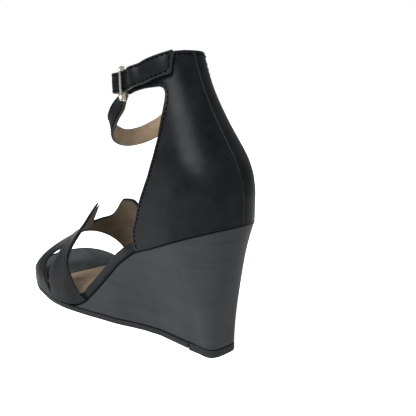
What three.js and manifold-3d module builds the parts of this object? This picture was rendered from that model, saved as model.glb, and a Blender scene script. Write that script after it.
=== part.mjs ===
// Wedge-heel ankle-strap sandal for the left foot. Millimetres.
// +X points to the toe, +Y to the outer (lateral) side of the foot, +Z up, and the sole stands on z = 0.
// Shapes are written in last coordinates: y = 0 is the centre line and x = 0 is 5 mm in front of the
// rearmost point of the heel seat. The last step moves the whole shoe over the centre of its box.
import * as THREE from 'three';
import { mergeVertices } from 'three/addons/utils/BufferGeometryUtils.js';
import Module from 'manifold-3d';

const wasm = await Module();
wasm.setup();
const { lerp, smoothstep, clamp } = THREE.MathUtils;

// ---------------------------------------------------------------- driving dimensions
const HEEL = { centre: 30, depth: 35, width: 28.5 }; // round of the heel seat, outside of the upper
const TOE = 219; // x of the tip of the sole
const TOE_ROUND = 178; // x where the round of the toe starts
const BREAST = 28; // x where the top lift stops and the outsole starts
const HEEL_BASE = 12; // half width of the wedge just above the top lift
const WEDGE_FRONT = 122; // x of the thin front end of the wedge
const WEDGE_ROUND = 0.3; // share of the wedge wall that goes round the heel
const HEEL_GAP = 1.4; // height of the outsole's rear end above the ground
const TOE_SPRING = 12.5; // height of the outsole's tip above the ground
const OUTSOLE = 3.5;
const COVER = 1.0; // leather cover of the wedge
const BOARD = 2.4; // insole board
const FOAM = 3.2; // footbed cushion
const SOCK = 1.2; // sock lining
const RIM = 1.2; // leather strip round the edge of the footbed
const UPPER = 1.3; // outer leather of quarters and vamp
const COUNTER = 0.8; // heel stiffener
const LINING = 0.8;
const GAP = 0.3; // left between touching pieces
const SHELL = { low: 48, high: 190, front: 74 }; // extent of the quarters before they are trimmed
const VAMP_ROUNDNESS = 1.7; // exponent of the vamp's arch, 2 being an ellipse
const STRAP = 1.2; // outer leather of the ankle strap
const STRAP_WIDTH = 12;
const PLY_GAP = 0.5; // between the plies of the strap, which twists
const TAB_WIDTH = 12.6; // height of the tab that holds the buckle
const HINGE = { x: 79, y: 20.2, z: 162.8 }; // middle of the upright hinge bar of the buckle
const FRAME_TURN = -0.45; // direction of the buckle frame in plan, radians from +X
const FRAME_REACH = 11.4; // hinge bar to front bar, between their middles
const FRAME_REAR = 8.5; // hinge bar to rear bar, between their middles
const FRAME_BOW = { front: 1.2, rear: 2.8 }; // how far the outer bars stand outside the hinge bar
const FRAME_HALF = 9.4; // half height of the frame, to the middle of its bars
const FRAME_BAR = 1.7; // width and thickness of the frame's bars
const PRONG = 1.5; // diameter of the prong
const LOOP_BORE = 1.5; // radius of the hole of the buckle loop, round the hinge bar
const LOOP = 1; // leather of the folded strip that holds the hinge bar
const LOOP_WIDTH = 10.4; // height of that strip

// ---------------------------------------------------------------- curves of the last
// Smooth curve y(x) through the knots that never overshoots them (monotone cubic).
function through(...knots) {
  const last = knots.length - 1;
  const slope = knots.slice(1).map(([x, y], i) => (y - knots[i][1]) / (x - knots[i][0]));
  const tangent = slope.map((s, i) => (i && s * slope[i - 1] > 0 ? 2 / (1 / s + 1 / slope[i - 1]) : 0));
  tangent[0] = slope[0];
  tangent.push(slope[last - 1]);
  return (x) => {
    let i = 0;
    while (i < last - 1 && x > knots[i + 1][0]) i++;
    const [[x0, y0], [x1, y1]] = [knots[i], knots[i + 1]];
    const t = clamp((x - x0) / (x1 - x0), 0, 1);
    const rest = 1 - t;
    const bend = (x1 - x0) * t * rest * (rest * tangent[i] - t * tangent[i + 1]);
    return y0 * rest * rest * (1 + 2 * t) + y1 * t * t * (3 - 2 * t) + bend;
  };
}

// Half width of the upper's outside in plan, for the lateral and the medial side.
const waist = {
  lateral: through([30, 28.5], [62, 28.8], [83, 29.2], [103, 31.5], [124, 36], [145, 40.3],
    [162, 41.6], [178, 41.3]),
  medial: through([30, 28.5], [62, 27.8], [83, 27], [103, 28.6], [124, 32.5], [145, 37.5],
    [162, 39.6], [178, 39.8]),
};
function halfWidth(x, side) {
  if (x < HEEL.centre) return HEEL.width * Math.sqrt(Math.max(0, 1 - ((HEEL.centre - x) / HEEL.depth) ** 2));
  const sideCurve = side > 0 ? waist.lateral : waist.medial;
  if (x < TOE_ROUND) return sideCurve(x);
  const power = side > 0 ? 2.1 : 2.5;
  const ahead = clamp((x - TOE_ROUND) / (TOE - TOE_ROUND), 0, 1);
  return sideCurve(TOE_ROUND) * (1 - ahead ** power) ** (1 / power);
}

// Half width of the tread, narrow under the waist.
const tread = {
  lateral: through([28, 14], [54, 14.4], [66, 16.6], [80, 21.3], [91, 25.8], [106, 30.2], [124, 35.4], [145, 39.9],
    [162, 41.2], [178, 40.6]),
  medial: through([28, 14], [54, 14.8], [66, 17], [80, 21.4], [91, 25.2], [106, 28.8], [124, 33.3], [145, 38.4],
    [162, 40.4], [178, 40.6]),
};
function treadWidth(x, side) {
  const sideCurve = side > 0 ? tread.lateral : tread.medial;
  return x < TOE_ROUND ? sideCurve(x) : (halfWidth(x, side) * sideCurve(TOE_ROUND)) / halfWidth(TOE_ROUND, side);
}

// Height of the tread, and of the line where wedge or outsole meets the upper.
const treadHeight = (x) => {
  if (x < 62) return HEEL_GAP * clamp((62 - x) / (62 - BREAST), 0, 1);
  return TOE_SPRING * clamp((x - 150) / (TOE - 150), 0, 1) ** 2;
};
const soleTop = (x) => treadHeight(x) + OUTSOLE;
const wedgeTop = through([-5, 85.5], [5, 82], [22, 75.6], [46, 66], [62, 60], [72, 54], [83, 46],
  [93, 36.5], [103, 26.6], [112, 18], [120, 10.8], [130, 5.8], [142, 4.1], [150, 3.8]);
const featherLine = (x) => (x < 150 ? wedgeTop(x) : soleTop(x) + GAP);
const BED = GAP + BOARD + GAP + FOAM + GAP + SOCK; // height of the footbed above the feather line

// Point at a height above the feather line, measured square to it.
function aboveFeather(x, height) {
  const rise = (featherLine(x + 0.5) - featherLine(x - 0.5));
  const square = height / Math.hypot(1, rise);
  return [x - rise * square, featherLine(x) + square];
}
const bedTop = (x) => {
  const [ahead, z] = aboveFeather(x, BED);
  return z + ((featherLine(x + 0.5) - featherLine(x - 0.5)) * (x - ahead));
};

// ---------------------------------------------------------------- solids
// A box of unit size with the given segments, each of its points moved to place(u, v, w), u v w in 0..1.
// Edges that meet are sewn together, and the faces are turned outward.
function bent(segments, place) {
  const box = new THREE.BoxGeometry(1, 1, 1, ...segments);
  box.deleteAttribute('normal');
  box.deleteAttribute('uv');
  const { position } = box.attributes;
  for (let i = 0; i < position.count; i++) {
    position.setXYZ(i, ...place(position.getX(i) + 0.5, position.getY(i) + 0.5, position.getZ(i) + 0.5));
  }
  const sewn = mergeVertices(box, 1e-3);
  const faces = [];
  let volume = 0;
  for (let i = 0; i < sewn.index.count; i += 3) {
    const corners = [0, 1, 2].map((k) => sewn.index.getX(i + k));
    if (new Set(corners).size === 3) faces.push(corners);
    const [a, b, c] = corners.map((k) => new THREE.Vector3().fromBufferAttribute(sewn.attributes.position, k));
    volume += a.dot(b.cross(c));
  }
  sewn.setIndex((volume < 0 ? faces.map(([a, b, c]) => [a, c, b]) : faces).flat());
  return sewn;
}

function toSolid(geometry) {
  const bare = geometry.clone();
  bare.deleteAttribute('normal');
  bare.deleteAttribute('uv');
  const merged = mergeVertices(bare, 1e-4);
  const vertProperties = new Float32Array(merged.attributes.position.array);
  const triVerts = new Uint32Array(merged.index.array);
  return new wasm.Manifold(new wasm.Mesh({ numProp: 3, vertProperties, triVerts }));
}

function toGeometry(solid) {
  const { vertProperties, triVerts } = solid.getMesh();
  const geometry = new THREE.BufferGeometry();
  geometry.setAttribute('position', new THREE.BufferAttribute(vertProperties, 3));
  geometry.setIndex(new THREE.BufferAttribute(triVerts, 1));
  return geometry;
}

// Point on one side of a plan outline, moved inward by inset; share runs from the heel to the toe.
function planPoint(share, side, inset, from = HEEL.centre - HEEL.depth, to = TOE, width = halfWidth) {
  const at = (s) => {
    const x = lerp(from, to, (1 - Math.cos(Math.PI * clamp(s, 0, 1))) / 2);
    return new THREE.Vector2(x, width(x, side));
  };
  const step = 1e-3;
  const along = at(share + step).sub(at(share - step)).normalize();
  const here = at(share);
  return [here.x + along.y * inset, side * (here.y - along.x * inset)];
}

// A flat layer of the footbed between two heights above the feather line.
function bedLayer(low, high, inset, from = 0, to = 1, segments = 44) {
  return bent([segments, 1, 1], (u, v, w) => {
    const share = lerp(from, to, u);
    const side = v > 0.5 ? 1 : -1;
    const [x, y] = planPoint(share, side, inset);
    const [xUp, z] = aboveFeather(x, lerp(low, high, w));
    return [xUp, y, z];
  });
}

// A prism that trims a shell: an outline in side view, reaching sideways from one y to another.
function sideCutter(points, from, to) {
  const shape = new THREE.Shape(points.map(([x, z]) => new THREE.Vector2(x, z)));
  const prism = new THREE.ExtrudeGeometry(shape, { depth: to - from, bevelEnabled: false });
  prism.rotateX(Math.PI / 2);
  prism.translate(0, to, 0);
  return toSolid(prism);
}
const sampled = (curve, from, to, count) => Array.from({ length: count + 1 }, (_, i) => {
  const x = lerp(from, to, i / count);
  return [x, curve(x)];
});

// ---------------------------------------------------------------- sole and wedge
function outsole() {
  return bent([34, 1, 1], (u, v, w) => {
    const x = lerp(BREAST + 0.4, TOE + 0.6, Math.sin((Math.PI / 2) * u));
    const within = Math.min(x, TOE);
    const side = v > 0.5 ? 1 : -1;
    return [x, side * treadWidth(within, side), treadHeight(within) + w * OUTSOLE];
  });
}

// Side wall of the wedge: share goes from the middle of the back to the front, rise from bottom to top.
function wallPoint(share, rise, side) {
  const flare = rise ** 1.8;
  const back = lerp(8, HEEL.centre - HEEL.depth + 0.3, rise ** 1.6);
  const centre = lerp(19, HEEL.centre, rise);
  if (share < WEDGE_ROUND) {
    const angle = (Math.PI / 2) * (share / WEDGE_ROUND);
    const power = 2 / lerp(3.4, 2, smoothstep(rise, 0, 0.9));
    const width = lerp(HEEL_BASE, HEEL.width, flare);
    return [centre - (centre - back) * Math.cos(angle) ** power, width * Math.sin(angle) ** power];
  }
  const x = lerp(centre, WEDGE_FRONT, (share - WEDGE_ROUND) / (1 - WEDGE_ROUND));
  const bottom = lerp(HEEL_BASE, treadWidth(Math.max(x, BREAST), side) - 0.8, smoothstep(x, 18, 34));
  return [x, lerp(bottom, halfWidth(x, side), flare)];
}
function insetWall(share, rise, side, inset) {
  const step = 2e-3;
  const [x, y] = wallPoint(share, rise, side);
  const ahead = wallPoint(Math.min(share + step, 1), rise, side);
  const behind = wallPoint(Math.max(share - step, 0), rise, side);
  const along = new THREE.Vector2(ahead[0] - behind[0], ahead[1] - behind[1]).normalize();
  if (share === 0) along.set(0, 1);
  return [x + along.y * inset, side * (y - along.x * inset)];
}
function wedgeWall(share, rise, side, inset) {
  const [x, y] = insetWall(share, rise, side, inset);
  const [foot] = insetWall(share, 0, side, inset);
  const [top] = insetWall(share, 1, side, inset);
  return [x, y, lerp(soleTop(Math.max(foot, BREAST)) + GAP, featherLine(top), rise)];
}
function wedgeCover() {
  return bent([46, 5, 1], (u, v, w) => {
    const round = 2 * u - 1;
    return wedgeWall(Math.abs(round), v, round < 0 ? -1 : 1, w * COVER);
  });
}
function wedgeBlock() {
  return bent([24, 5, 1], (u, v, w) => wedgeWall(u, v, w > 0.5 ? 1 : -1, COVER + GAP));
}
function topLift() {
  const round = Array.from({ length: 15 }, (_, i) => wallPoint((i / 14) * WEDGE_ROUND, 0, 1));
  const half = [...round, [BREAST - 0.2, HEEL_BASE + 1.2]];
  const otherHalf = half.slice(1).reverse().map(([x, y]) => [x, -y]);
  const shape = new THREE.Shape([...half, ...otherHalf].map(([x, y]) => new THREE.Vector2(x, y)));
  return new THREE.ExtrudeGeometry(shape, { depth: HEEL_GAP + OUTSOLE, bevelEnabled: false });
}
function shank(extra = 0) {
  return bent([18, 1, 1], (u, v, w) => {
    const x = lerp(24 - extra, 118 + extra, u);
    const [xUp, z] = aboveFeather(x, lerp(-1.4 - extra, extra ? 1 : -0.2, w));
    return [xUp, (v - 0.5) * 2 * (6.5 + extra), z];
  });
}
function pins(places, radius, low, high) {
  return places.map(([x, y]) => {
    const pin = new THREE.CylinderGeometry(radius, radius, high - low, 10);
    pin.rotateX(Math.PI / 2);
    pin.translate(x, y, (low + high) / 2);
    return toSolid(pin);
  });
}
const joined = (solids) => solids.reduce((sum, solid) => sum.add(solid));
const LIFT_PINS = [[12, 0], [22, 7], [22, -7]];
const SEAT_NAILS = [[6, 0], [16, 13], [16, -13], [36, 15], [36, -15]];

// ---------------------------------------------------------------- footbed
// The rim stands back under quarters and vamp, and comes out flush with the wedge between them.
const RIM_INSET = UPPER + 0.9;
const rimInset = (x, side) => {
  const start = side > 0 ? 64 : 72;
  const open = smoothstep(x, start, start + 6) * (1 - smoothstep(x, 112, 121));
  return lerp(RIM_INSET, 0.3, open);
};
function footbedRim() {
  const seam = 0.62; // the strip's ends meet under the vamp, on the medial side
  return bent([84, 1, 1], (u, v, w) => {
    const turn = (seam + lerp(0.002, 0.998, u)) % 1;
    const side = turn < 0.5 ? 1 : -1;
    const share = side > 0 ? 2 * turn : 2 - 2 * turn;
    const [x, y] = planPoint(share, side, rimInset(planPoint(share, side, 0)[0], side) + w * RIM);
    const [xUp, z] = aboveFeather(x, lerp(GAP, BED - 0.2, v));
    return [xUp, y, z];
  });
}
const BED_INSET = RIM_INSET + RIM + GAP;
const SOCK_SPLIT = 0.72; // share of the sole's length at which the heel sock meets the forepart sock

// ---------------------------------------------------------------- quarters
const seamLine = through([48, -5], [100, -5], [109, -3.7], [120, 0.8], [130, 7.6], [140, 15], [150, 21.8],
  [162, 28.7], [172, 33.2], [181, 36.3], [190, 38.6]);
const collarDepth = through([48, 35], [90, 34], [120, 30], [150, 26], [172, 22], [190, 20]);
const collarWidth = through([48, 28.5], [90, 28.7], [115, 27.8], [140, 23.6], [165, 20], [190, 18.6]);
const frontWidth = {
  lateral: through([48, 28.9], [95, 28.9], [150, 24], [165, 22.6], [190, 21.6]),
  medial: through([48, 27.6], [95, 27.4], [150, 25], [165, 24.4], [190, 24]),
};
function quarterPoint(turn, height, side, inset) {
  const z = lerp(SHELL.low, SHELL.high, height);
  const back = seamLine(z);
  const depth = collarDepth(z);
  const width = collarWidth(z);
  const front = (side > 0 ? frontWidth.lateral : frontWidth.medial)(z);
  const at = (s) => {
    if (s < 0.5) return [back + depth * (1 - Math.cos(Math.PI * s)), width * Math.sin(Math.PI * s)];
    const t = 2 * s - 1;
    return [lerp(back + depth, SHELL.front, t), lerp(width, front, t)];
  };
  const [x, y] = at(turn);
  const step = 0.01;
  const [ahead, behind] = [at(Math.min(turn + step, 1)), at(Math.max(turn - step, 0))];
  const along = new THREE.Vector2(ahead[0] - behind[0], ahead[1] - behind[1]).normalize();
  if (turn === 0) along.set(0, 1);
  return [x + along.y * inset, side * (y - along.x * inset), z];
}
// One side of the upper behind the foot, from the back seam forward.
function quarterShell(side, outer, thickness) {
  return toSolid(bent([16, 13, 1], (u, v, w) => quarterPoint(u, v, side, outer + w * thickness)));
}
// Side view of each quarter. The lateral one runs on into the tab that holds the buckle.
const lateralFront = [[61, 61], [62.5, 66], [63.6, 71], [61.4, 79], [55.6, 93.5], [47.6, 109], [41.4, 126],
  [39.4, 142], [39.4, 153], [40, 157.6], [42.6, 160.4], [48, 160.4]];
const medialFront = [[66, 61], [69.5, 68], [71.5, 76], [69, 90], [60.5, 112], [50.5, 131], [43, 147],
  [41.4, 163], [44.6, 176]];
function quarterOutline(bottomLine, side) {
  const front = side > 0 ? lateralFront : medialFront;
  const collar = side > 0 ? [[48, 176.4], [44, 178.8], [41, 180.2]] : [[44.6, 179.6], [42, 180.6]];
  const foot = sampled((x) => bottomLine(x) + GAP, -12, front[0][0], 26);
  const edge = front.filter(([x, z]) => z > bottomLine(x) + GAP);
  return [...foot, ...edge, ...collar, [36, 181], [10, 181], [-12, 181]];
}
const lateralTrim = (bottomLine, from = 0.15) => sideCutter(quarterOutline(bottomLine, 1), from, 40);
const medialTrim = (bottomLine, from = 0.15) => sideCutter(quarterOutline(bottomLine, -1), -40, -from);

// The tab leaves the lateral quarter below its collar and ends just behind the hinge bar of the buckle.
const TAB_TURN = 0.2; // direction of the tab where it ends, radians from +X
const TAB_REST = 5; // from the end of the tab to the hinge bar
const tabPlan = (height, shift) => {
  const outer = LOOP + 2 * GAP + UPPER;
  const leaving = [0.42, 0.5, 0.6].map((turn) => quarterPoint(turn, height, 1, 0.05));
  const behindBar = [-14, -9, -TAB_REST].map((back) => [
    HINGE.x + back * Math.cos(TAB_TURN) - outer * Math.sin(TAB_TURN),
    HINGE.y + back * Math.sin(TAB_TURN) + outer * Math.cos(TAB_TURN),
  ]);
  const plan = [...leaving, ...behindBar].map(([x, y]) => new THREE.Vector3(x, y, 0));
  const route = new THREE.CatmullRomCurve3(plan);
  return (run) => {
    const along = route.getTangentAt(run);
    return route.getPointAt(run).add(new THREE.Vector3(along.y, -along.x, 0).multiplyScalar(shift));
  };
};
function buckleTab() {
  const middle = (165 - SHELL.low) / (SHELL.high - SHELL.low);
  const [outside, inside] = [tabPlan(middle, 0), tabPlan(middle, UPPER - 0.1)];
  const arm = bent([18, 1, 1], (u, v, w) => {
    const { x, y } = (w > 0.5 ? inside : outside)(u);
    return [x, y, lerp(166.6, HINGE.z, u) + (v - 0.5) * TAB_WIDTH];
  });
  return toSolid(arm);
}
// A narrow strip folded round the hinge bar, its two ends sewn together inside the tab. The prong reaches the
// bar through the slot in its fold.
function buckleLoop() {
  const outer = LOOP_BORE + LOOP;
  const meet = 1.15 * Math.PI / 2;
  const strip = new THREE.Shape();
  strip.moveTo(-9, LOOP);
  strip.lineTo(0.6 - TAB_REST, LOOP);
  strip.absarc(0, 0, outer, meet, -meet, true);
  strip.lineTo(0.6 - TAB_REST, -LOOP);
  strip.lineTo(-9, -LOOP);
  strip.holes.push(new THREE.Path().absarc(0, 0, LOOP_BORE, 0, 2 * Math.PI));
  const loop = new THREE.ExtrudeGeometry(strip, { depth: LOOP_WIDTH, bevelEnabled: false, curveSegments: 10 });
  loop.translate(0, 0, -LOOP_WIDTH / 2);
  const slot = new THREE.BoxGeometry(7, 12, 3.4);
  slot.translate(1.2, 0, 0);
  const cut = toGeometry(toSolid(loop).subtract(toSolid(slot)));
  cut.rotateZ(TAB_TURN);
  cut.translate(HINGE.x, HINGE.y, HINGE.z);
  return cut;
}

function quarterLining() {
  const inset = UPPER + GAP + COUNTER + GAP;
  const halves = [1, -1].map((side) => quarterShell(side, inset, LINING));
  const trims = [lateralTrim((x) => bedTop(x) + 0.6, 0), medialTrim((x) => bedTop(x) + 0.6, 0)];
  const strapSpace = sideCutter([[36, 158], [90, 158], [90, 190], [36, 190]], -40, 0);
  return joined(halves.map((half, i) => half.intersect(trims[i]))).subtract(strapSpace);
}
function heelCounter() {
  const foot = sampled((x) => bedTop(x) + 0.6, -12, 50, 20);
  const outline = [...foot, [44, 96], [34, 116], [26, 130], [10, 137], [-12, 137]];
  const halves = [1, -1].map((side) => quarterShell(side, UPPER + GAP, COUNTER));
  return joined(halves).intersect(sideCutter(outline, -40, 40));
}

// ---------------------------------------------------------------- vamp
// Height of the arch above the footbed, and the two edges as x over the way across, -1 to 1. The arch
// stands on two upright walls, which are the last part of the way down on each side.
const WALL = 0.88;
const vampHeight = through([118, 77], [132, 73], [145, 60], [157, 49], [171, 40], [185, 31], [203, 23]);
const vampRear = through([-1, 121], [-0.8, 122.5], [-0.5, 120.5], [-0.29, 123], [-0.175, 133.5], [-0.145, 148.5],
  [-0.06, 154.3], [0.03, 158], [0.1, 150], [0.19, 132.5], [0.32, 142.5], [0.48, 147], [0.57, 145.5], [0.7, 138],
  [0.84, 128.5], [1, 119]);
const vampFront = through([-1, 164], [-0.55, 171.6], [-0.27, 176.5], [-0.08, 178.8], [0.2, 184], [0.5, 192], [1, 200]);
function vampPoint(across, x, inset) {
  const side = across < 0 ? -1 : 1;
  const way = Math.abs(across);
  const lean = Math.sin((Math.PI / 2) * Math.min(way / WALL, 1));
  const width = halfWidth(x, side) - inset;
  const height = vampHeight(x) - 1.9 * inset;
  const arch = height * Math.max(0, 1 - lean ** VAMP_ROUNDNESS) ** (1 / VAMP_ROUNDNESS);
  const foot = featherLine(x) + 2 * GAP;
  const z = way < WALL ? foot + BED + arch : lerp(foot + BED, foot, (way - WALL) / (1 - WALL));
  return [x, side * width * lean, z];
}
function vampShell(outer, thickness) {
  return toSolid(bent([40, 5, 1], (u, v, w) => {
    const across = 2 * u - 1;
    return vampPoint(across, lerp(vampRear(across), vampFront(across), v), outer + w * thickness);
  }));
}
// Crescent opening on the lateral side, between the two bands of the vamp.
const slitRear = through([0.38, 164.4], [0.48, 165.5], [0.61, 168], [0.69, 166.4], [0.76, 164], [0.95, 160.5]);
const slitFront = through([0.38, 165.6], [0.44, 177], [0.54, 181], [0.635, 179.5], [0.757, 174.4], [0.866, 168.6],
  [0.95, 162.4]);
function vampSlit() {
  return toSolid(bent([22, 1, 1], (u, v, w) => {
    const across = lerp(0.38, 0.95, u);
    return vampPoint(across, lerp(slitRear(across), slitFront(across), v), lerp(-3, 5, w));
  }));
}
function vampPiece(outer, thickness) {
  return vampShell(outer, thickness).subtract(vampSlit());
}
function vampLining() {
  const aboveBed = [...sampled((x) => bedTop(x) + 2 * GAP, 110, 210, 24), [210, 100], [110, 100]];
  return vampPiece(UPPER + 2.5 * GAP, LINING).intersect(sideCutter(aboveBed, -60, 60));
}

// ---------------------------------------------------------------- ankle strap and buckle
// Middle of the strap: its free end lies on the lateral quarter, it passes the buckle, hangs in a loop in
// front of the ankle, and ends inside the front edge of the medial quarter.
const onQuarter = (side, inset) => ([turn, z]) => {
  const height = (z - SHELL.low) / (SHELL.high - SHELL.low);
  return quarterPoint(turn, height, side, inset);
};
const freeEnd = [[0.195, 174.3], [0.32, 172.1], [0.44, 169.9], [0.55, 168]];
const fixedEnd = [[0.44, 166.6], [0.34, 168.2]];
const strapRoute = new THREE.CatmullRomCurve3([
  ...freeEnd.map(onQuarter(1, -2.7)),
  [61.5, 25.9, 166.4], [67.5, 24.1, 165.2], [72.8, 23.35, 164], [77.4, 24.7, 163.3], [81.6, 25.1, 163],
  [84.4, 21.7, 162.9], [85, 17.4, 162.8], [86.6, 13.2, 162.5], [91.4, 9.4, 161.2], [96, 7.6, 157.4], [100, 8.6, 151.4], [105.4, 10.6, 144.4],
  [111.2, 9.8, 136.6], [115.2, 3.6, 130], [116.6, -6, 126.8], [113.4, -15.6, 128.4], [106, -22.6, 133.2],
  [95, -26, 139.8], [82, -26.4, 147.4], [69, -25, 155], [57, -23, 161.6],
  ...fixedEnd.map(onQuarter(-1, 3.4)),
].map((p) => new THREE.Vector3(...p)), false, 'centripetal');
// Direction in plan, in degrees, in which the outer face looks along the run of the strap.
const strapFacing = through([0, 112], [0.1, 98], [0.2, 84], [0.26, 50], [0.3, 46], [0.36, 62], [0.41, 86], [0.45, 84],
  [0.5, 44], [0.56, -4], [0.61, -38], [0.66, -62], [0.74, -82], [1, -96]);
function strapPoint(run, across, outward) {
  const middle = strapRoute.getPointAt(clamp(run, 0, 1));
  const along = strapRoute.getTangentAt(clamp(run, 0, 1));
  const angle = THREE.MathUtils.degToRad(strapFacing(run));
  const away = new THREE.Vector3(Math.cos(angle), Math.sin(angle), 0);
  away.addScaledVector(along, -away.dot(along)).normalize();
  const wide = new THREE.Vector3().crossVectors(away, along);
  return middle.addScaledVector(wide, across).addScaledVector(away, outward).toArray();
}
function strapPly(low, high) {
  const ply = toSolid(bent([180, 1, 1], (u, v, w) => strapPoint(u, (v - 0.5) * STRAP_WIDTH, lerp(low, high, w))));
  const slot = new THREE.BoxGeometry(8.4, 12, 2.6);
  slot.translate(4.6, 0, 0);
  slot.rotateZ(FRAME_TURN);
  slot.translate(HINGE.x, HINGE.y, HINGE.z);
  return ply.subtract(toSolid(slot));
}

// Buckle pieces are made round their hinge bar, the middle one of three: x to the front bar, y up the bar,
// z outward. The frame is bowed, so the strap passes outside its middle bar and inside the other two.
function buckleFrame() {
  const half = FRAME_BAR / 2;
  const ring = roundedBox(-FRAME_REAR - half, FRAME_REACH + half, FRAME_HALF + half, 2.2);
  ring.holes.push(roundedBox(half, FRAME_REACH - half, FRAME_HALF - half, 1.1));
  ring.holes.push(roundedBox(half - FRAME_REAR, -half, FRAME_HALF - half, 1.1));
  const bevel = 0.35;
  const frame = new THREE.ExtrudeGeometry(ring, {
    depth: FRAME_BAR - 2 * bevel,
    bevelThickness: bevel,
    bevelSize: bevel,
    bevelOffset: -bevel,
    bevelSegments: 1,
    curveSegments: 3,
  });
  frame.translate(0, 0, bevel - half);
  const place = frame.attributes.position;
  for (let i = 0; i < place.count; i++) {
    const x = place.getX(i);
    const rise = x < 0 ? FRAME_BOW.rear * (x / FRAME_REAR) ** 2 : FRAME_BOW.front * (x / FRAME_REACH) ** 2;
    place.setZ(i, place.getZ(i) + rise);
  }
  return frame;
}
function roundedBox(left, right, halfHeight, radius) {
  const shape = new THREE.Shape();
  const steps = [0.17, 0.33, 0.5, 0.67, 0.83];
  shape.moveTo(right, halfHeight - radius);
  shape.absarc(right - radius, halfHeight - radius, radius, 0, Math.PI / 2);
  for (const t of steps) shape.lineTo(lerp(right - radius, left + radius, t), halfHeight);
  shape.absarc(left + radius, halfHeight - radius, radius, Math.PI / 2, Math.PI);
  shape.absarc(left + radius, radius - halfHeight, radius, Math.PI, 1.5 * Math.PI);
  for (const t of steps) shape.lineTo(lerp(left + radius, right - radius, t), -halfHeight);
  shape.absarc(right - radius, radius - halfHeight, radius, 1.5 * Math.PI, 2 * Math.PI);
  return shape;
}
function prong() {
  const eye = new THREE.Shape().absarc(0, 0, 2.1, 0, 2 * Math.PI);
  eye.holes.push(new THREE.Path().absarc(0, 0, 1.35, 0, 2 * Math.PI));
  const collar = new THREE.ExtrudeGeometry(eye, { depth: 2.2, bevelEnabled: false, curveSegments: 12 });
  collar.translate(0, 0, -1.1);
  collar.rotateX(Math.PI / 2);
  const tip = FRAME_REACH + 1.9;
  const pin = new THREE.CapsuleGeometry(PRONG / 2, tip - PRONG, 3, 8);
  pin.rotateZ(Math.PI / 2);
  pin.translate(tip / 2, 0, FRAME_BAR / 2 + GAP + PRONG / 2);
  pin.rotateY(-Math.atan(FRAME_BOW.front / FRAME_REACH)); // it rests on the bowed front bar
  return toGeometry(toSolid(collar).add(toSolid(pin)));
}
function onHinge(geometry) {
  const outward = new THREE.Vector3(-Math.sin(FRAME_TURN), Math.cos(FRAME_TURN), 0);
  const forward = new THREE.Vector3(Math.cos(FRAME_TURN), Math.sin(FRAME_TURN), 0);
  const place = new THREE.Matrix4().makeBasis(forward, new THREE.Vector3(0, 0, -1), outward);
  place.setPosition(HINGE.x, HINGE.y, HINGE.z);
  return geometry.applyMatrix4(place);
}

// ---------------------------------------------------------------- assembly
const looks = {
  blackLeather: { color: 0x26292b, roughness: 0.42 },
  taupeLeather: { color: 0x8f7b66, roughness: 0.75 },
  brushedLeather: { color: 0x3d4143, roughness: 0.48 },
  soleRubber: { color: 0x2b2d2e, roughness: 0.8 },
  cork: { color: 0xb08a5c, roughness: 0.9 },
  board: { color: 0x8a7a63, roughness: 0.95 },
  foam: { color: 0xd8cfbd, roughness: 0.95 },
  steel: { color: 0x9a9c9e, roughness: 0.4, metalness: 1 },
  paleMetal: { color: 0xd9cfc0, roughness: 0.22, metalness: 1 },
};
const shoe = new THREE.Group();
function add(name, geometry, look) {
  const mesh = new THREE.Mesh(geometry, new THREE.MeshStandardMaterial(looks[look]));
  mesh.name = name;
  shoe.add(mesh);
}

const liftPins = pins(LIFT_PINS, 1, 1.5, 17);
const nailZone = toSolid(bedLayer(-14, GAP + BOARD, 6));
const seatNails = pins(SEAT_NAILS, 0.9, 50, 90).map((nail) => nail.intersect(nailZone));
const liftPinHoles = joined(pins(LIFT_PINS, 1 + GAP, 1.2, 17.4));
const seatNailHoles = joined(pins(SEAT_NAILS, 0.9 + GAP, 46, 96)).intersect(toSolid(bedLayer(-14.4, 12, 5)));

add('outsole', outsole(), 'soleRubber');
add('top_lift', toGeometry(toSolid(topLift()).subtract(liftPinHoles)), 'soleRubber');
liftPins.forEach((pin, i) => add(`top_lift_pin_${i + 1}`, toGeometry(pin), 'steel'));
add('wedge_block', toGeometry(toSolid(wedgeBlock()).subtract(toSolid(shank(GAP))).subtract(liftPinHoles)
  .subtract(seatNailHoles)), 'cork');
add('wedge_cover', wedgeCover(), 'brushedLeather');
add('shank', shank(), 'steel');
add('insole_board', toGeometry(toSolid(bedLayer(GAP, GAP + BOARD, BED_INSET)).subtract(seatNailHoles)), 'board');
seatNails.forEach((nail, i) => add(`seat_nail_${i + 1}`, toGeometry(nail), 'steel'));
add('footbed_cushion', bedLayer(2 * GAP + BOARD, 2 * GAP + BOARD + FOAM, BED_INSET), 'foam');
add('footbed_rim', footbedRim(), 'blackLeather');
add('heel_sock', bedLayer(BED - SOCK, BED, BED_INSET, 0, SOCK_SPLIT, 34), 'taupeLeather');
add('forepart_sock', bedLayer(BED - SOCK, BED, BED_INSET, SOCK_SPLIT + 0.003, 1, 20), 'blackLeather');
add('quarter_lateral', toGeometry(quarterShell(1, 0, UPPER).intersect(lateralTrim(featherLine)).add(buckleTab())),
  'blackLeather');
add('quarter_medial', toGeometry(quarterShell(-1, 0, UPPER).intersect(medialTrim(featherLine))), 'blackLeather');
add('quarter_lining', toGeometry(quarterLining()), 'taupeLeather');
add('heel_counter', toGeometry(heelCounter()), 'board');
add('vamp', toGeometry(vampPiece(0, UPPER)), 'blackLeather');
add('vamp_lining', toGeometry(vampLining()), 'taupeLeather');
add('ankle_strap', toGeometry(strapPly(PLY_GAP / 2, PLY_GAP / 2 + STRAP)), 'blackLeather');
add('ankle_strap_lining', toGeometry(strapPly(-PLY_GAP / 2 - LINING, -PLY_GAP / 2)), 'taupeLeather');
add('buckle_loop', buckleLoop(), 'blackLeather');
add('buckle_frame', onHinge(buckleFrame()), 'paleMetal');
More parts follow.
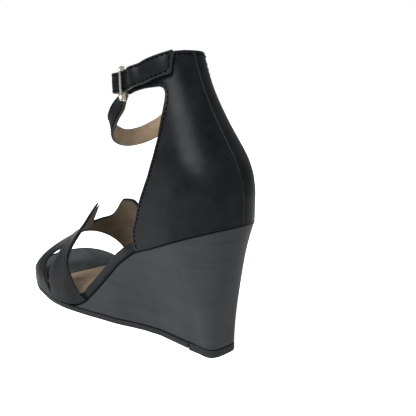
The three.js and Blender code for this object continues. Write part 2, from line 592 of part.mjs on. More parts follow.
add('buckle_prong', onHinge(prong()), 'paleMetal');

// The origin is under the centre of the shoe, on the ground.
const bounds = new THREE.Box3().setFromObject(shoe);
const centre = bounds.getCenter(new THREE.Vector3());
shoe.position.set(-centre.x, -centre.y, -bounds.min.z);

export default shoe;
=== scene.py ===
"""Looks of the wedge sandal: fine leather, lining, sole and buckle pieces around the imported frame.

Shapes are worked out in last coordinates, in millimetres: y = 0 is the centre line of the shoe and x = 0 is
5 mm in front of the rearmost point of the heel seat. to_frame() turns them into the frame's metres.
"""
import math

import bmesh
import bpy
import numpy as np
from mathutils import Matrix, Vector
from mathutils.geometry import delaunay_2d_cdt


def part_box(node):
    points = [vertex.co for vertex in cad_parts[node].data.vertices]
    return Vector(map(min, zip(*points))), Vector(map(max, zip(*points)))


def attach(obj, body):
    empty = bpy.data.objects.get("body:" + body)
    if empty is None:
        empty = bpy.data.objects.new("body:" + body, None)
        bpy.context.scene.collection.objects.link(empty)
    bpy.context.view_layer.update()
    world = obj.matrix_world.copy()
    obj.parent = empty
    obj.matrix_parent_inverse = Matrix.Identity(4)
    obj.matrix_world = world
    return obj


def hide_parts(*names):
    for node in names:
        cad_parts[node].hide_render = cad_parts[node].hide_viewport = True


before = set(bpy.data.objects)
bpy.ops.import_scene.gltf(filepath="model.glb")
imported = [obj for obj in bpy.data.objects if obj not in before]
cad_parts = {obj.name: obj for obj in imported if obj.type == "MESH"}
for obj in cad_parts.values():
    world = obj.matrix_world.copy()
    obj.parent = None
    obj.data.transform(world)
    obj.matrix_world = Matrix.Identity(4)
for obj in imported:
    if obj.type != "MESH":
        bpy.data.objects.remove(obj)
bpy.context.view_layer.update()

# ---------------------------------------------------------------- dimensions
# Sizes as in the frame, except that the wedge cover runs on under the vamp to WEDGE_FRONT.
HEEL_CENTRE, HEEL_DEPTH, HEEL_WIDTH = 30, 35, 28.5
HEEL_END = HEEL_CENTRE - HEEL_DEPTH
TOE, TOE_ROUND = 219, 178
BREAST, HEEL_BASE = 28, 12
LIFT_BACK, LIFT_CENTRE = 8, 19
WEDGE_FRONT, WEDGE_ROUND = 139, 0.27
HEEL_GAP, TOE_SPRING, OUTSOLE = 1.4, 12.5, 3.5
WAIST_END, SPRING_START = 62, 150
COVER, BOARD, FOAM, SOCK, RIM = 1.0, 2.4, 3.2, 1.2, 1.2
UPPER, COUNTER, LINING, GAP = 1.3, 0.8, 0.8, 0.3
SHELL_FRONT = 74
STRAP, STRAP_WIDTH, TAB_WIDTH = 1.2, 12, 12.6
HINGE = np.array([79, 20.2, 162.8])
FRAME_TURN, FRAME_REACH, FRAME_REAR, FRAME_HALF, FRAME_BAR = -0.45, 11.4, 8.5, 9.4, 1.7
FRONT_BOW, REAR_BOW = 1.2, 2.8
QUARTER_SEWN, STRAP_SEWN = 2.2, 1.5  # from the edge to the stitches
STRAP_LIFT, LINING_LIFT = 0.25, 0.2  # inner face of the strap, outer face of its lining
# The wedge seam tube is painted shade: a dark line standing in for the shadowed seam.
PIPING, SEAM_SHADE_TUBE = 0.5, 0.42  # radii
STITCH = 3.1
LOOP_BORE, LOOP, LOOP_WIDTH, TAB_TURN, TAB_REST = 1.5, 1, 10.4, 0.2, 5
BED = GAP + BOARD + GAP + FOAM + GAP + SOCK
RIM_INSET = UPPER + 0.9
BED_INSET = RIM_INSET + RIM + GAP

# The top lift ends at the breast of the heel and is the same on both sides of the centre line.
lift_low, lift_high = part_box("top_lift")
ORIGIN = np.array([BREAST - 0.2 - lift_high.x * 1000, -(lift_low.y + lift_high.y) * 500, 0])


def to_frame(points):
    return (np.asarray(points, float) - ORIGIN) / 1000


# ---------------------------------------------------------------- curves of the last
def through(*knots):
    """Smooth curve y(x) through the knots that never overshoots them (monotone cubic)."""
    x, y = np.array(knots, float).T
    slope = np.diff(y) / np.diff(x)
    tangent = np.zeros(len(x))
    tangent[0], tangent[-1] = slope[0], slope[-1]
    for i in range(1, len(slope)):
        if slope[i - 1] * slope[i] > 0:
            tangent[i] = 2 / (1 / slope[i - 1] + 1 / slope[i])

    def curve(at):
        at = np.clip(np.asarray(at, float), x[0], x[-1])
        i = np.clip(np.searchsorted(x, at, side="right") - 1, 0, len(x) - 2)
        t = (at - x[i]) / (x[i + 1] - x[i])
        rest = 1 - t
        bend = (x[i + 1] - x[i]) * t * rest * (rest * tangent[i] - t * tangent[i + 1])
        return y[i] * rest**2 * (1 + 2 * t) + y[i + 1] * t**2 * (3 - 2 * t) + bend

    return curve


def smoothstep(x, low, high):
    t = np.clip((np.asarray(x, float) - low) / (high - low), 0, 1)
    return t * t * (3 - 2 * t)


WAIST = {
    1: through([30, 28.5], [62, 28.8], [83, 29.2], [103, 31.5], [124, 36], [145, 40.3],
               [162, 41.6], [178, 41.3]),
    -1: through([30, 28.5], [62, 27.8], [83, 27], [103, 28.6], [124, 32.5], [145, 37.5],
                [162, 39.6], [178, 39.8]),
}
TREAD = {
    1: through([28, 14], [54, 14.4], [66, 16.6], [80, 21.3], [91, 25.8], [106, 30.2], [124, 35.4],
               [145, 39.9], [162, 41.2], [178, 40.6]),
    -1: through([28, 14], [54, 14.8], [66, 17], [80, 21.4], [91, 25.2], [106, 28.8], [124, 33.3], [145, 38.4],
                [162, 40.4], [178, 40.6]),
}


def half_width(x, side):
    """Half width of the upper's outside in plan. side is an array or a number, 1 lateral and -1 medial."""
    x = np.asarray(x, float)
    power = np.where(np.asarray(side) > 0, 2.1, 2.5)
    heel = HEEL_WIDTH * np.sqrt(np.clip(1 - ((HEEL_CENTRE - x) / HEEL_DEPTH) ** 2, 0, 1))
    ahead = np.clip((x - TOE_ROUND) / (TOE - TOE_ROUND), 0, 1)
    flank = np.where(np.asarray(side) > 0, WAIST[1](x), WAIST[-1](x))
    toe = flank * np.clip(1 - ahead**power, 0, 1) ** (1 / power)
    return np.where(x < HEEL_CENTRE, heel, np.where(x < TOE_ROUND, flank, toe))


def tread_width(x, side):
    ratio = TREAD[side](TOE_ROUND) / half_width(TOE_ROUND, side)
    return np.where(x < TOE_ROUND, TREAD[side](x), half_width(x, side) * ratio)


def tread_height(x):
    x = np.asarray(x, float)
    rear = HEEL_GAP * np.clip((WAIST_END - x) / (WAIST_END - BREAST), 0, 1)
    spring = TOE_SPRING * np.clip((x - SPRING_START) / (TOE - SPRING_START), 0, 1) ** 2
    return np.where(x < WAIST_END, rear, spring)


wedge_top = through([-5, 85.5], [5, 82], [22, 75.6], [46, 66], [62, 60], [72, 54], [83, 46], [93, 36.5],
                    [103, 26.6], [112, 18], [120, 10.8], [130, 5.8], [142, 4.1], [150, 3.8])


def feather(x):
    return np.where(np.asarray(x) < SPRING_START, wedge_top(x), tread_height(x) + OUTSOLE + GAP)


def above_feather(x, height):
    """x and z of the point at that height above the feather line, measured square to it."""
    rise = feather(x + 0.5) - feather(x - 0.5)
    square = height / np.hypot(1, rise)
    return x - rise * square, feather(x) + square


def bed_top(x):
    ahead, z = above_feather(x, BED)
    return z + (feather(x + 0.5) - feather(x - 0.5)) * (x - ahead)


# ---------------------------------------------------------------- meshes
def finish_mesh(name, vertices, faces, material, body="shoe", edge=None):
    """One closed piece from last coordinates, smooth, facing out, riding on a body."""
    mesh = bpy.data.meshes.new(name)
    mesh.from_pydata([tuple(p) for p in to_frame(vertices)], [], [tuple(int(i) for i in f) for f in faces])
    shape = bmesh.new()
    shape.from_mesh(mesh)
    bmesh.ops.recalc_face_normals(shape, faces=shape.faces)
    for face in shape.faces:
        face.smooth = True
    shape.to_mesh(mesh)
    shape.free()
    if edge is not None:
        values = mesh.attributes.new("edge_mm", "FLOAT", "POINT").data
        values.foreach_set("value", np.asarray(edge, np.float32))
    mesh.materials.append(material)
    piece = bpy.data.objects.new(name, mesh)
    bpy.context.scene.collection.objects.link(piece)
    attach(piece, body)
    return piece


def resample(points, step, closed=False):
    """Points a step apart along a polyline. Corners sharper than about 25 degrees are kept."""
    points = np.asarray(points, float)
    if closed:
        points = np.vstack([points, points[:1]])
    made = []
    for a, b in zip(points[:-1], points[1:]):
        count = max(1, round(float(np.linalg.norm(b - a)) / step))
        made += [a + (b - a) * k / count for k in range(count)]
    if not closed:
        made.append(points[-1])
    return np.array(made)


def loops_measure(points, loops):
    """Distance from each point to the nearest loop, and whether it is in the first and outside the others."""
    distance = np.full(len(points), 1e9)
    inside = np.ones(len(points), bool)
    for k, loop in enumerate(loops):
        a, b = loop, np.roll(loop, -1, 0)
        d = b - a
        long = np.maximum((d**2).sum(1), 1e-12)
        within = np.zeros(len(points), bool)
        for start in range(0, len(points), 2000):
            p = points[start:start + 2000, None, :]
            t = np.clip(((p - a) * d).sum(2) / long, 0, 1)
            near = np.sqrt((((a + t[..., None] * d) - p) ** 2).sum(2)).min(1)
            distance[start:start + 2000] = np.minimum(distance[start:start + 2000], near)
            spans = (a[:, 1] > p[..., 1]) != (b[:, 1] > p[..., 1])
            with np.errstate(divide="ignore", invalid="ignore"):
                crossing = a[:, 0] + (p[..., 1] - a[:, 1]) * d[:, 0] / d[:, 1]
            within[start:start + 2000] = (spans & (p[..., 0] < crossing)).sum(1) % 2 == 1
        inside &= within if k == 0 else ~within
    return distance, inside


def inward(line, depth, loops, closed=False):
    """The line moved into the panel by depth, without the points that land too near another edge."""
    line = np.asarray(line, float)
    if closed:
        along = np.roll(line, -1, 0) - np.roll(line, 1, 0)
    else:
        along = np.gradient(line, axis=0)
    along /= np.maximum(np.linalg.norm(along, axis=1, keepdims=True), 1e-9)
    normal = np.stack([-along[:, 1], along[:, 0]], 1)
    probe = line + normal * 0.02
    side = 1 if loops_measure(probe, loops)[1].mean() > 0.5 else -1
    moved = line + normal * depth * side
    distance, inside = loops_measure(moved, loops)
    return moved[(distance > depth * 0.97 - 1e-6) & inside]


def triangulated(loops, step, rings):
    """Flat triangles that fill the first loop outside the others, with rows of points along the edges."""
    first = loops[0]
    low, high = first.min(0), first.max(0)
    columns, rows = np.meshgrid(np.arange(low[0], high[0], step), np.arange(low[1], high[1], step * 0.87))
    columns[1::2] += step / 2
    grid = np.stack([columns.ravel(), rows.ravel()], 1)
    distance, inside = loops_measure(grid, loops)
    points = [grid[inside & (distance > rings[-1] + step * 0.55)]]
    for depth in rings[1:]:
        points += [inward(loop, depth, loops, closed=True) for loop in loops]
    edges, fixed, at = [], [], 0
    for loop in loops:
        fixed.append(loop)
        edges += [(at + i, at + (i + 1) % len(loop)) for i in range(len(loop))]
        at += len(loop)
    flat = np.vstack(fixed + points)
    done = delaunay_2d_cdt([Vector(p) for p in flat], edges, [], 0, 1e-5)
    vertices = np.array([tuple(v) for v in done[0]])
    faces = np.array([f for f in done[2] if len(f) == 3])
    centres = vertices[faces].mean(1)
    return vertices, faces[loops_measure(centres, loops)[1]]


def surface_normals(surface, flat, outward):
    e = 0.05
    along = surface(flat + [e, 0]) - surface(flat - [e, 0])
    up = surface(flat + [0, e]) - surface(flat - [0, e])
    normal = np.cross(along, up) * outward
    return normal / np.maximum(np.linalg.norm(normal, axis=1, keepdims=True), 1e-12)


def panel(name, outline, surface, thickness, material, outward=1, edge=0.45, step=1.6, holes=(),
          groove=None, relief=None, under=None, replaces=()):
    """A leather panel: an outline with holes, cut from a curved surface, with rounded edges.

    groove is the distance from the edge of a sewn channel. relief and under give extra depth to the outer and
    the inner face, from the flat points and their distance to the edge.
    """
    loops = [resample(outline, min(step, 0.9), closed=True)]
    loops += [resample(hole, 0.4, closed=True) for hole in holes]
    rings = [0, edge * 0.15, edge * 0.5, edge, edge + 0.5]
    if groove:
        rings += [groove - 0.35, groove, groove + 0.35, groove + 0.8]
    flat, faces = triangulated(loops, step, rings)
    distance, _ = loops_measure(flat, loops)
    distance[distance < 1e-4] = 0
    rounding = edge * (1 - np.sqrt(1 - (1 - np.clip(distance / edge, 0, 1)) ** 2))
    top = rounding.copy()
    if groove:
        top += 0.13 * np.exp(-(((distance - groove) / 0.3) ** 2))
    if relief:
        top += relief(flat, distance)
    base = surface(flat)
    normal = surface_normals(surface, flat, outward)
    bottom = thickness - rounding + (under(flat, distance) if under else 0)
    outer = base - normal * top[:, None]
    inner = base - normal * bottom[:, None]
    count = len(flat)
    directed = {(f[i], f[(i + 1) % 3]) for f in faces for i in range(3)}
    rim = [(a, b) for a, b in directed if (b, a) not in directed]
    quads = [(a, a + count, b + count, b) for a, b in rim]
    everything = [tuple(f) for f in faces] + [tuple(f[::-1] + count) for f in faces] + quads
    piece = finish_mesh(name, np.vstack([outer, inner]), everything, material,
                        edge=np.clip(np.concatenate([distance, distance]), 0, 6))
    if replaces:
        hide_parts(*replaces)
    return piece


def ring_faces(rows, around, first=0, closed_u=False):
    """Quads between rows of points from index first, each row a loop, with end caps unless closed_u."""
    faces = []
    for i in range(rows if closed_u else rows - 1):
        here, ahead = first + i * around, first + (i + 1) % rows * around
        for j in range(around):
            m = (j + 1) % around
            faces.append((here + j, here + m, ahead + m, ahead + j))
    if not closed_u:
        last = first + (rows - 1) * around
        faces += [tuple(range(first, first + around)), tuple(range(last, last + around))]
    return faces


def grid_piece(name, vertices, closed_u, material, body="shoe", edge=None, replaces=()):
    """A piece from cross-sections vertices[i], each a closed loop of as many points."""
    vertices = np.asarray(vertices, float)
    faces = ring_faces(*vertices.shape[:2], closed_u=closed_u)
    piece = finish_mesh(name, vertices.reshape(-1, 3), faces, material, body, edge)
    if replaces:
        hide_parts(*replaces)
    return piece


def tube(centres, radii, sides=8, up=(0, 0, 1)):
    """Cross-sections of a round tube along centres."""
    centres = np.asarray(centres, float)
    along = np.gradient(centres, axis=0)
    along /= np.linalg.norm(along, axis=1, keepdims=True)
    across = np.cross(along, np.asarray(up, float))
    across /= np.maximum(np.linalg.norm(across, axis=1, keepdims=True), 1e-9)
    other = np.cross(across, along)
    turn = np.linspace(0, 2 * np.pi, sides, endpoint=False)
    radii = np.broadcast_to(radii, len(centres))[:, None, None]
    ring = across[:, None] * np.cos(turn)[None, :, None] + other[:, None] * np.sin(turn)[None, :, None]
    return centres[:, None] + ring * radii


def stitches(name, line, surface, material, outward=1):
    """A row of thread stitches on a surface, each dipping into the leather at both ends."""
    line = resample(line, 0.3)
    path = surface(line)
    normal = surface_normals(surface, line, outward)
    run = np.concatenate([[0], np.cumsum(np.linalg.norm(np.diff(path, axis=0), axis=1))])
    count = max(1, int(run[-1] / STITCH))
    shares = np.array([0.1, 0.18, 0.32, 0.5, 0.68, 0.82, 0.9])
    heights = np.array([-0.3, 0.02, 0.17, 0.21, 0.17, 0.02, -0.3])
    radii = np.array([0.1, 0.2, 0.27, 0.29, 0.27, 0.2, 0.1])
    vertices, faces = [], []
    sides = 6
    for i in range(count):
        at = (i + shares) * run[-1] / count
        centre = np.stack([np.interp(at, run, path[:, k]) for k in range(3)], 1)
        out = np.stack([np.interp(at, run, normal[:, k]) for k in range(3)], 1)
        rings = tube(centre + out * heights[:, None], radii, sides, up=out[3])
        faces += ring_faces(len(shares), sides, len(vertices) * sides)
        vertices += list(rings)
    finish_mesh(name, np.vstack(vertices), faces, material)


# ---------------------------------------------------------------- materials
class Look:
    """A procedural material on the Principled shader, its textures laid out in the frame's metres."""

    def __init__(self, name):
        self.material = bpy.data.materials.new(name)
        self.material.use_nodes = True
        self.tree = self.material.node_tree
        self.inputs = self.tree.nodes["Principled BSDF"].inputs

    def node(self, kind, **values):
        """A new node with the named inputs set."""
        made = self.tree.nodes.new(kind)
        for name, value in values.items():
            made.inputs[name].default_value = value
        return made

    def set(self, name, source):
        """Link a node's output to an input of the shader."""
        self.tree.links.new(source, self.inputs[name])

    def place(self, texture, stretch=(1, 1, 1)):
        mapping = self.node("ShaderNodeMapping", Scale=stretch)
        self.tree.links.new(self.node("ShaderNodeTexCoord").outputs["Object"], mapping.inputs["Vector"])
        self.tree.links.new(mapping.outputs["Vector"], texture.inputs["Vector"])
        return texture.outputs

    def noise(self, scale, detail=4, roughness=0.55, stretch=(1, 1, 1)):
        """Noise whose features are about 1/scale metres wide."""
        texture = self.node("ShaderNodeTexNoise", Scale=scale, Detail=detail, Roughness=roughness)
        return self.place(texture, stretch)

    def cells(self, scale):
        return self.place(self.node("ShaderNodeTexVoronoi", Scale=scale))["Distance"]

    def ramp(self, source, low, dark, high, light):
        """Colours, or plain values, between two levels of the source."""
        made = self.node("ShaderNodeValToRGB")
        for element, at, tone in zip(made.color_ramp.elements, (low, high), (dark, light)):
            element.position = at
            element.color = (*tone, 1) if isinstance(tone, tuple) else (tone, tone, tone, 1)
        self.tree.links.new(source, made.inputs["Fac"])
        return made.outputs["Color"]

    def mix(self, factor, a, b):
        made = self.node("ShaderNodeMix")
        made.data_type = "RGBA"
        for key, kind, value in (("Factor", "VALUE", factor), ("A", "RGBA", a), ("B", "RGBA", b)):
            socket = next(s for s in made.inputs if s.name == key and s.type == kind)
            if isinstance(value, float):
                socket.default_value = value
            elif isinstance(value, tuple):
                socket.default_value = (*value, 1)
            else:
                self.tree.links.new(value, socket)
        return next(s for s in made.outputs if s.type == "RGBA")

    def bump(self, height, strength, distance, below=None):
        made = self.node("ShaderNodeBump", Strength=strength, Distance=distance)
        self.tree.links.new(height, made.inputs["Height"])
        if below is not None:
            self.tree.links.new(below, made.inputs["Normal"])
        return made.outputs["Normal"]

    def near_edge(self, inner, outer):
        """1 at the piece's edge, falling to 0 between two distances in millimetres."""
        attribute = self.node("ShaderNodeAttribute")
        attribute.attribute_name = "edge_mm"
        limits = {"From Min": inner, "From Max": outer, "To Min": 1, "To Max": 0}
        fall = self.node("ShaderNodeMapRange", **limits)
        fall.interpolation_type = "SMOOTHSTEP"
        self.tree.links.new(attribute.outputs["Fac"], fall.inputs["Value"])
        return fall.outputs["Result"]


def scaled(tone, factor):
    return tuple(factor * c for c in tone)


def leather(name, dark, light, rough, edge=None):
    """Smooth dyed leather: fine pebble grain, soft creases, uneven polish and an edge tone, which is edge
    paint on some pieces and painted shade or a painted highlight on others.
    """
    look = Look(name)
    pebble = look.cells(1500)
    pores = look.noise(2600, 3)["Fac"]
    soft, broad = look.noise(90, 3), look.noise(28, 2)
    colour = look.ramp(soft["Fac"], 0.32, dark, 0.7, light)
    colour = look.mix(look.ramp(pores, 0.35, 0, 0.75, 0.3), colour, scaled(dark, 0.6))
    # Edge tone over the rounded edge: edge paint, painted shade or a painted highlight, as each piece below
    # sets it.
    if edge:
        colour = look.mix(look.near_edge(0.1, 0.5), colour, edge)
    look.set("Base Color", colour)
    polish = look.mix(0.5, broad["Color"], soft["Color"])
    look.set("Roughness", look.ramp(polish, 0.3, rough - 0.07, 0.7, rough + 0.09))
    wave = look.bump(soft["Fac"], 0.18, 0.0012)
    fine = look.bump(pores, 0.15, 0.00006, wave)
    look.set("Normal", look.bump(pebble, 0.25, 0.00012, fine))
    look.inputs["Specular IOR Level"].default_value = 0.07
    return look.material


def brushed_leather(name):
    """Charcoal leather over the wedge with fine horizontal brushing, and painted shade: near-black along its
    top and bottom edges, where it meets the upper and the sole.
    """
    look = Look(name)
    hair = look.noise(900, 5, 0.6, (0.035, 0.035, 1))["Fac"]
    band = look.noise(160, 4, 0.6, (0.08, 0.08, 1))["Fac"]
    cloud = look.noise(22, 2)["Fac"]
    colour = look.mix(0.45, look.ramp(hair, 0.3, (0.0115, 0.0135, 0.014), 0.72, (0.027, 0.0305, 0.031)),
                      look.ramp(band, 0.3, (0.0145, 0.0165, 0.0175), 0.7, (0.025, 0.028, 0.0285)))
    colour = look.mix(look.ramp(cloud, 0.4, 0, 0.75, 0.3), colour, (0.04, 0.0435, 0.0445))
    # Painted shade: near-black along the cover's top and bottom edges.
    look.set("Base Color", look.mix(look.near_edge(0.25, 0.95), colour, (0.0008, 0.0009, 0.001)))
    look.set("Roughness", look.ramp(hair, 0.3, 0.4, 0.7, 0.58))
    look.set("Normal", look.bump(hair, 0.35, 0.00012))
    look.inputs["Specular IOR Level"].default_value = 0.14
    return look.material


def lining_leather(name, dark, light, edge):
    """Matt unfinished lining leather with a short nap."""
    look = Look(name)
    nap = look.noise(2200, 6, 0.7)["Fac"]
    patch = look.noise(130, 4)["Fac"]
    colour = look.ramp(patch, 0.3, dark, 0.7, light)
    colour = look.mix(look.ramp(nap, 0.35, 0, 0.7, 0.45), colour, scaled(dark, 0.62))
    look.set("Base Color", look.mix(look.near_edge(0.1, 0.5), colour, edge))
    look.inputs["Roughness"].default_value = 0.82
    look.inputs["Sheen Weight"].default_value = 0.1
    look.inputs["Sheen Roughness"].default_value = 0.5
    look.set("Normal", look.bump(nap, 0.4, 0.00012))
    return look.material


def rubber(name, tone):
    """Moulded rubber with a speckled matt skin and lighter scuffs."""
    look = Look(name)
    speck = look.noise(1800, 3)["Fac"]
    scuff = look.noise(140, 6, 0.7)["Fac"]
    colour = look.ramp(speck, 0.3, scaled(tone, 0.75), 0.75, tone)
    look.set("Base Color", look.mix(look.ramp(scuff, 0.5, 0, 0.8, 0.35), colour, scaled(tone, 1.9)))
    look.set("Roughness", look.ramp(scuff, 0.3, 0.55, 0.75, 0.8))
    look.inputs["Specular IOR Level"].default_value = 0.2
    look.set("Normal", look.bump(speck, 0.4, 0.00008))
    return look.material


def metal(name, tone, rough):
    """Plated metal with faint handling scratches."""
    look = Look(name)
    look.inputs["Metallic"].default_value = 1
    mark = look.noise(900, 8, 0.75, (1, 1, 0.12))["Fac"]
    haze = look.noise(120, 3)["Fac"]
    look.set("Base Color", look.ramp(haze, 0.3, scaled(tone, 0.9), 0.7, tone))
    look.set("Roughness", look.ramp(mark, 0.35, rough, 0.8, rough + 0.16))
    look.set("Normal", look.bump(mark, 0.12, 0.00003))
    return look.material


def granular(name, dark, light, scale):
    """Cork or fibre board: grains of several tones."""
    look = Look(name)
    grains = look.cells(scale)
    fine = look.noise(scale * 3, 4)["Fac"]
    look.set("Base Color", look.mix(0.3, look.ramp(grains, 0.05, dark, 0.6, light),
                                    look.ramp(fine, 0.3, dark, 0.7, light)))
    look.inputs["Roughness"].default_value = 0.9
    look.set("Normal", look.bump(fine, 0.4, 0.0002))
    return look.material


def twisted_thread(name, tone):
    look = Look(name)
    twist = look.noise(5000, 2)["Fac"]
    look.set("Base Color", look.ramp(twist, 0.3, scaled(tone, 0.5), 0.7, tone))
    look.inputs["Roughness"].default_value = 0.55
    look.inputs["Specular IOR Level"].default_value = 0.02
    look.set("Normal", look.bump(twist, 0.5, 0.00005))
    return look.material


DEEP, SATIN = (0.0034, 0.0042, 0.0052), (0.0072, 0.0085, 0.0102)
# Quarters: edges a little darker than the face, edge paint together with painted shade along the seams and
# joints.
black = leather("black_leather", DEEP, SATIN, 0.36, edge=(0.003, 0.0032, 0.0036))
# Strap and buckle loop: a lighter edge tone, a painted highlight along the rounded edges.
strap_black = leather("strap_leather", DEEP, (0.0078, 0.009, 0.0106), 0.36, edge=(0.035, 0.037, 0.039))
# Vamp: an edge tone a little lighter than the face.
vamp_black = leather("vamp_leather", DEEP, SATIN, 0.36, edge=(0.016, 0.015, 0.014))
# Footbed rim: black leather made lighter, painted light on its upward face.
rim_black_painted_light = leather("edge_leather", (0.0055, 0.0065, 0.0075), (0.011, 0.0125, 0.014), 0.42)
# Forepart sock: black leather made far lighter, painted light where it faces up to the lamps.
sock_black_painted_light = leather("sock_black_leather", (0.034, 0.038, 0.0385), (0.056, 0.061, 0.061), 0.5)
# Back seam piping: lighter than the quarters, a painted highlight on the raised seam.
piping_black_painted_highlight = leather("piping_leather_painted_highlight", (0.008, 0.009, 0.01), (0.013, 0.0145, 0.016), 0.34)
wedge_look = brushed_leather("wedge_leather")
taupe = lining_leather("taupe_lining", (0.235, 0.168, 0.108), (0.345, 0.258, 0.172), (0.08, 0.058, 0.04))
brown = lining_leather("vamp_lining_leather", (0.052, 0.033, 0.015), (0.1, 0.066, 0.034),
                       (0.004, 0.004, 0.004))
sole_look = rubber("sole_rubber", (0.012, 0.0125, 0.0135))
buckle_look = metal("buckle_metal", (0.83, 0.79, 0.72), 0.14)
steel_look = metal("plain_steel", (0.5, 0.5, 0.51), 0.35)
thread = twisted_thread("black_thread", (0.001, 0.001, 0.0012))
taupe_thread = twisted_thread("taupe_thread", (0.36, 0.29, 0.21))

# Parts that the pieces below don't replace.
CAD_LOOKS = {
    "wedge_block": granular("cork", (0.2, 0.11, 0.05), (0.45, 0.3, 0.17), 500),
    "shank": steel_look,
}
for node, name in (("insole_board", "fibre_board"), ("heel_counter", "counter_board")):
    CAD_LOOKS[node] = granular(name, (0.25, 0.19, 0.13), (0.4, 0.32, 0.23), 1400)
CAD_LOOKS.update({f"seat_nail_{i}": steel_look for i in range(1, 6)})
CAD_LOOKS.update({f"top_lift_pin_{i}": steel_look for i in range(1, 4)})


# ---------------------------------------------------------------- sole and wedge
def plan_loop(width, start, inset, count):
    """Closed plan outline of the sole from a straight rear end at start, or round the heel when start < 0."""
    t = np.linspace(0, 1, count)
    if start > 0:
        x = start + (TOE - start) * np.sin(t * np.pi / 2)
    else:
        x = start + (TOE - start) * (1 - np.cos(t * np.pi)) / 2
    sides = []
    for side in (1, -1):
        edge = np.stack([x, width(x, side)], 1)
        if inset:
            along = np.gradient(edge, axis=0)
            along[-1] = (0, -1)
            if start < 0:
                along[0] = (0, 1)
            along /= np.linalg.norm(along, axis=1, keepdims=True)
            edge = edge + np.stack([along[:, 1], -along[:, 0]], 1) * inset
        edge[:, 1] *= side
        sides.append(edge)
    loop = np.vstack([sides[0], sides[1][::-1][1:]])
    return loop if start > 0 else loop[:-1]


def make_outsole():
    outline = plan_loop(tread_width, BREAST + 0.4, 0, 150)

    def top(flat):
        return np.stack([flat[:, 0], flat[:, 1], tread_height(flat[:, 0]) + OUTSOLE], 1)

    def treads(flat, distance):
        """Shallow cross grooves under the ball of the foot, and a rim line all round."""
        zone = smoothstep(distance, 4.5, 5.5) * smoothstep(flat[:, 0], 112, 118)
        zone *= 1 - smoothstep(flat[:, 0], 196, 202)
        wave = 0.5 + 0.5 * np.cos(flat[:, 0] * 2 * np.pi / 6 + 0.5 * np.sin(flat[:, 1] / 7))
        return -0.45 * zone * wave**2 - 0.3 * np.exp(-(((distance - 3) / 0.45) ** 2))

    panel("outsole_sole", outline, top, OUTSOLE, sole_look, edge=0.5, step=1.5,
          under=treads, replaces=["outsole"])


def wall_point(share, rise):
    """Wedge wall from the middle of the back to the front, lateral side: x and half width, arrays."""
    flare = rise**1.8
    back = LIFT_BACK + (HEEL_END + 0.3 - LIFT_BACK) * rise**1.6
    centre = LIFT_CENTRE + (HEEL_CENTRE - LIFT_CENTRE) * rise
    angle = np.pi / 2 * np.clip(share / WEDGE_ROUND, 0, 1)
    power = 2 / (3.4 + (2 - 3.4) * smoothstep(rise, 0, 0.9))
    width = HEEL_BASE + (HEEL_WIDTH - HEEL_BASE) * flare
    x_round = centre - (centre - back) * np.cos(angle) ** power
    y_round = width * np.sin(angle) ** power
    x_side = centre + (WEDGE_FRONT - centre) * np.clip((share - WEDGE_ROUND) / (1 - WEDGE_ROUND), 0, 1)
    return x_round, y_round, x_side, share < WEDGE_ROUND, flare


def wall(share, rise, side):
    share, rise = np.broadcast_arrays(np.asarray(share, float), np.asarray(rise, float))
    x_round, y_round, x_side, rear, flare = wall_point(share, rise)
    spread = tread_width(np.maximum(x_side, BREAST), side) - 0.8 - HEEL_BASE
    bottom = HEEL_BASE + spread * smoothstep(x_side, 18, 34)
    y_side = bottom + (half_width(np.maximum(x_side, HEEL_CENTRE), side) - bottom) * flare
    return np.stack([np.where(rear, x_round, x_side), np.where(rear, y_round, y_side)], -1)


def inset_wall(share, rise, side, inset):
    step = 2e-3
    here = wall(share, rise, side)
    along = wall(np.minimum(share + step, 1), rise, side) - wall(np.maximum(share - step, 0), rise, side)
    along /= np.maximum(np.linalg.norm(along, axis=-1, keepdims=True), 1e-9)
    along = np.where((np.asarray(share) == 0)[..., None], [0, 1], along)
    return np.stack([here[..., 0] + along[..., 1] * inset, side * (here[..., 1] - along[..., 0] * inset)], -1)


def wedge_wall(share, rise, side, inset):
    flat = inset_wall(share, rise, side, inset)
    foot = inset_wall(share, np.zeros_like(rise), side, inset)[..., 0]
    top = inset_wall(share, np.ones_like(rise), side, inset)[..., 0]
    low = tread_height(np.maximum(foot, BREAST)) + OUTSOLE + GAP
    return np.stack([flat[..., 0], flat[..., 1], low + (feather(top) - low) * rise], -1)


def make_wedge_cover():
    """The leather round the wedge, one strip from the medial front round the heel to the lateral front."""
    turns = np.linspace(-1, 1, 281)
    turns = np.sign(turns) * np.abs(turns) ** 1.15
    rises = np.concatenate([[0, 0.004, 0.012], np.linspace(0.03, 0.97, 40), [0.988, 0.996, 1]])
    tuck = np.interp(rises, [0, 0.004, 0.012, 0.03, 0.97, 0.988, 0.996, 1],
                     [0.5, 0.25, 0.08, 0, 0, 0.03, 0.1, 0.2])
    sections, edges = [], []
    for turn in turns:
        side = -1 if turn < 0 else 1
        share = np.full(len(rises), abs(turn))
        outer = wedge_wall(share, rises, side, 0)
        inner = wedge_wall(share, rises, side, COVER)
        mix = tuck[:, None]
        sections.append(np.vstack([outer * (1 - mix) + inner * mix, inner[::-1]]))
        height = outer[-1, 2] - outer[0, 2]
        # Distance to the bottom edge and, less 0.35 mm, to the top edge; it sets the width of the painted
        # shade along both.
        edge = np.clip(np.minimum(rises * height, (1 - rises) * height - 0.35), 0, 6)
        edges.append(np.concatenate([edge, edge[::-1]]))
    grid_piece("wedge_cover_leather", sections, False, wedge_look,
               edge=np.concatenate(edges), replaces=["wedge_cover"])


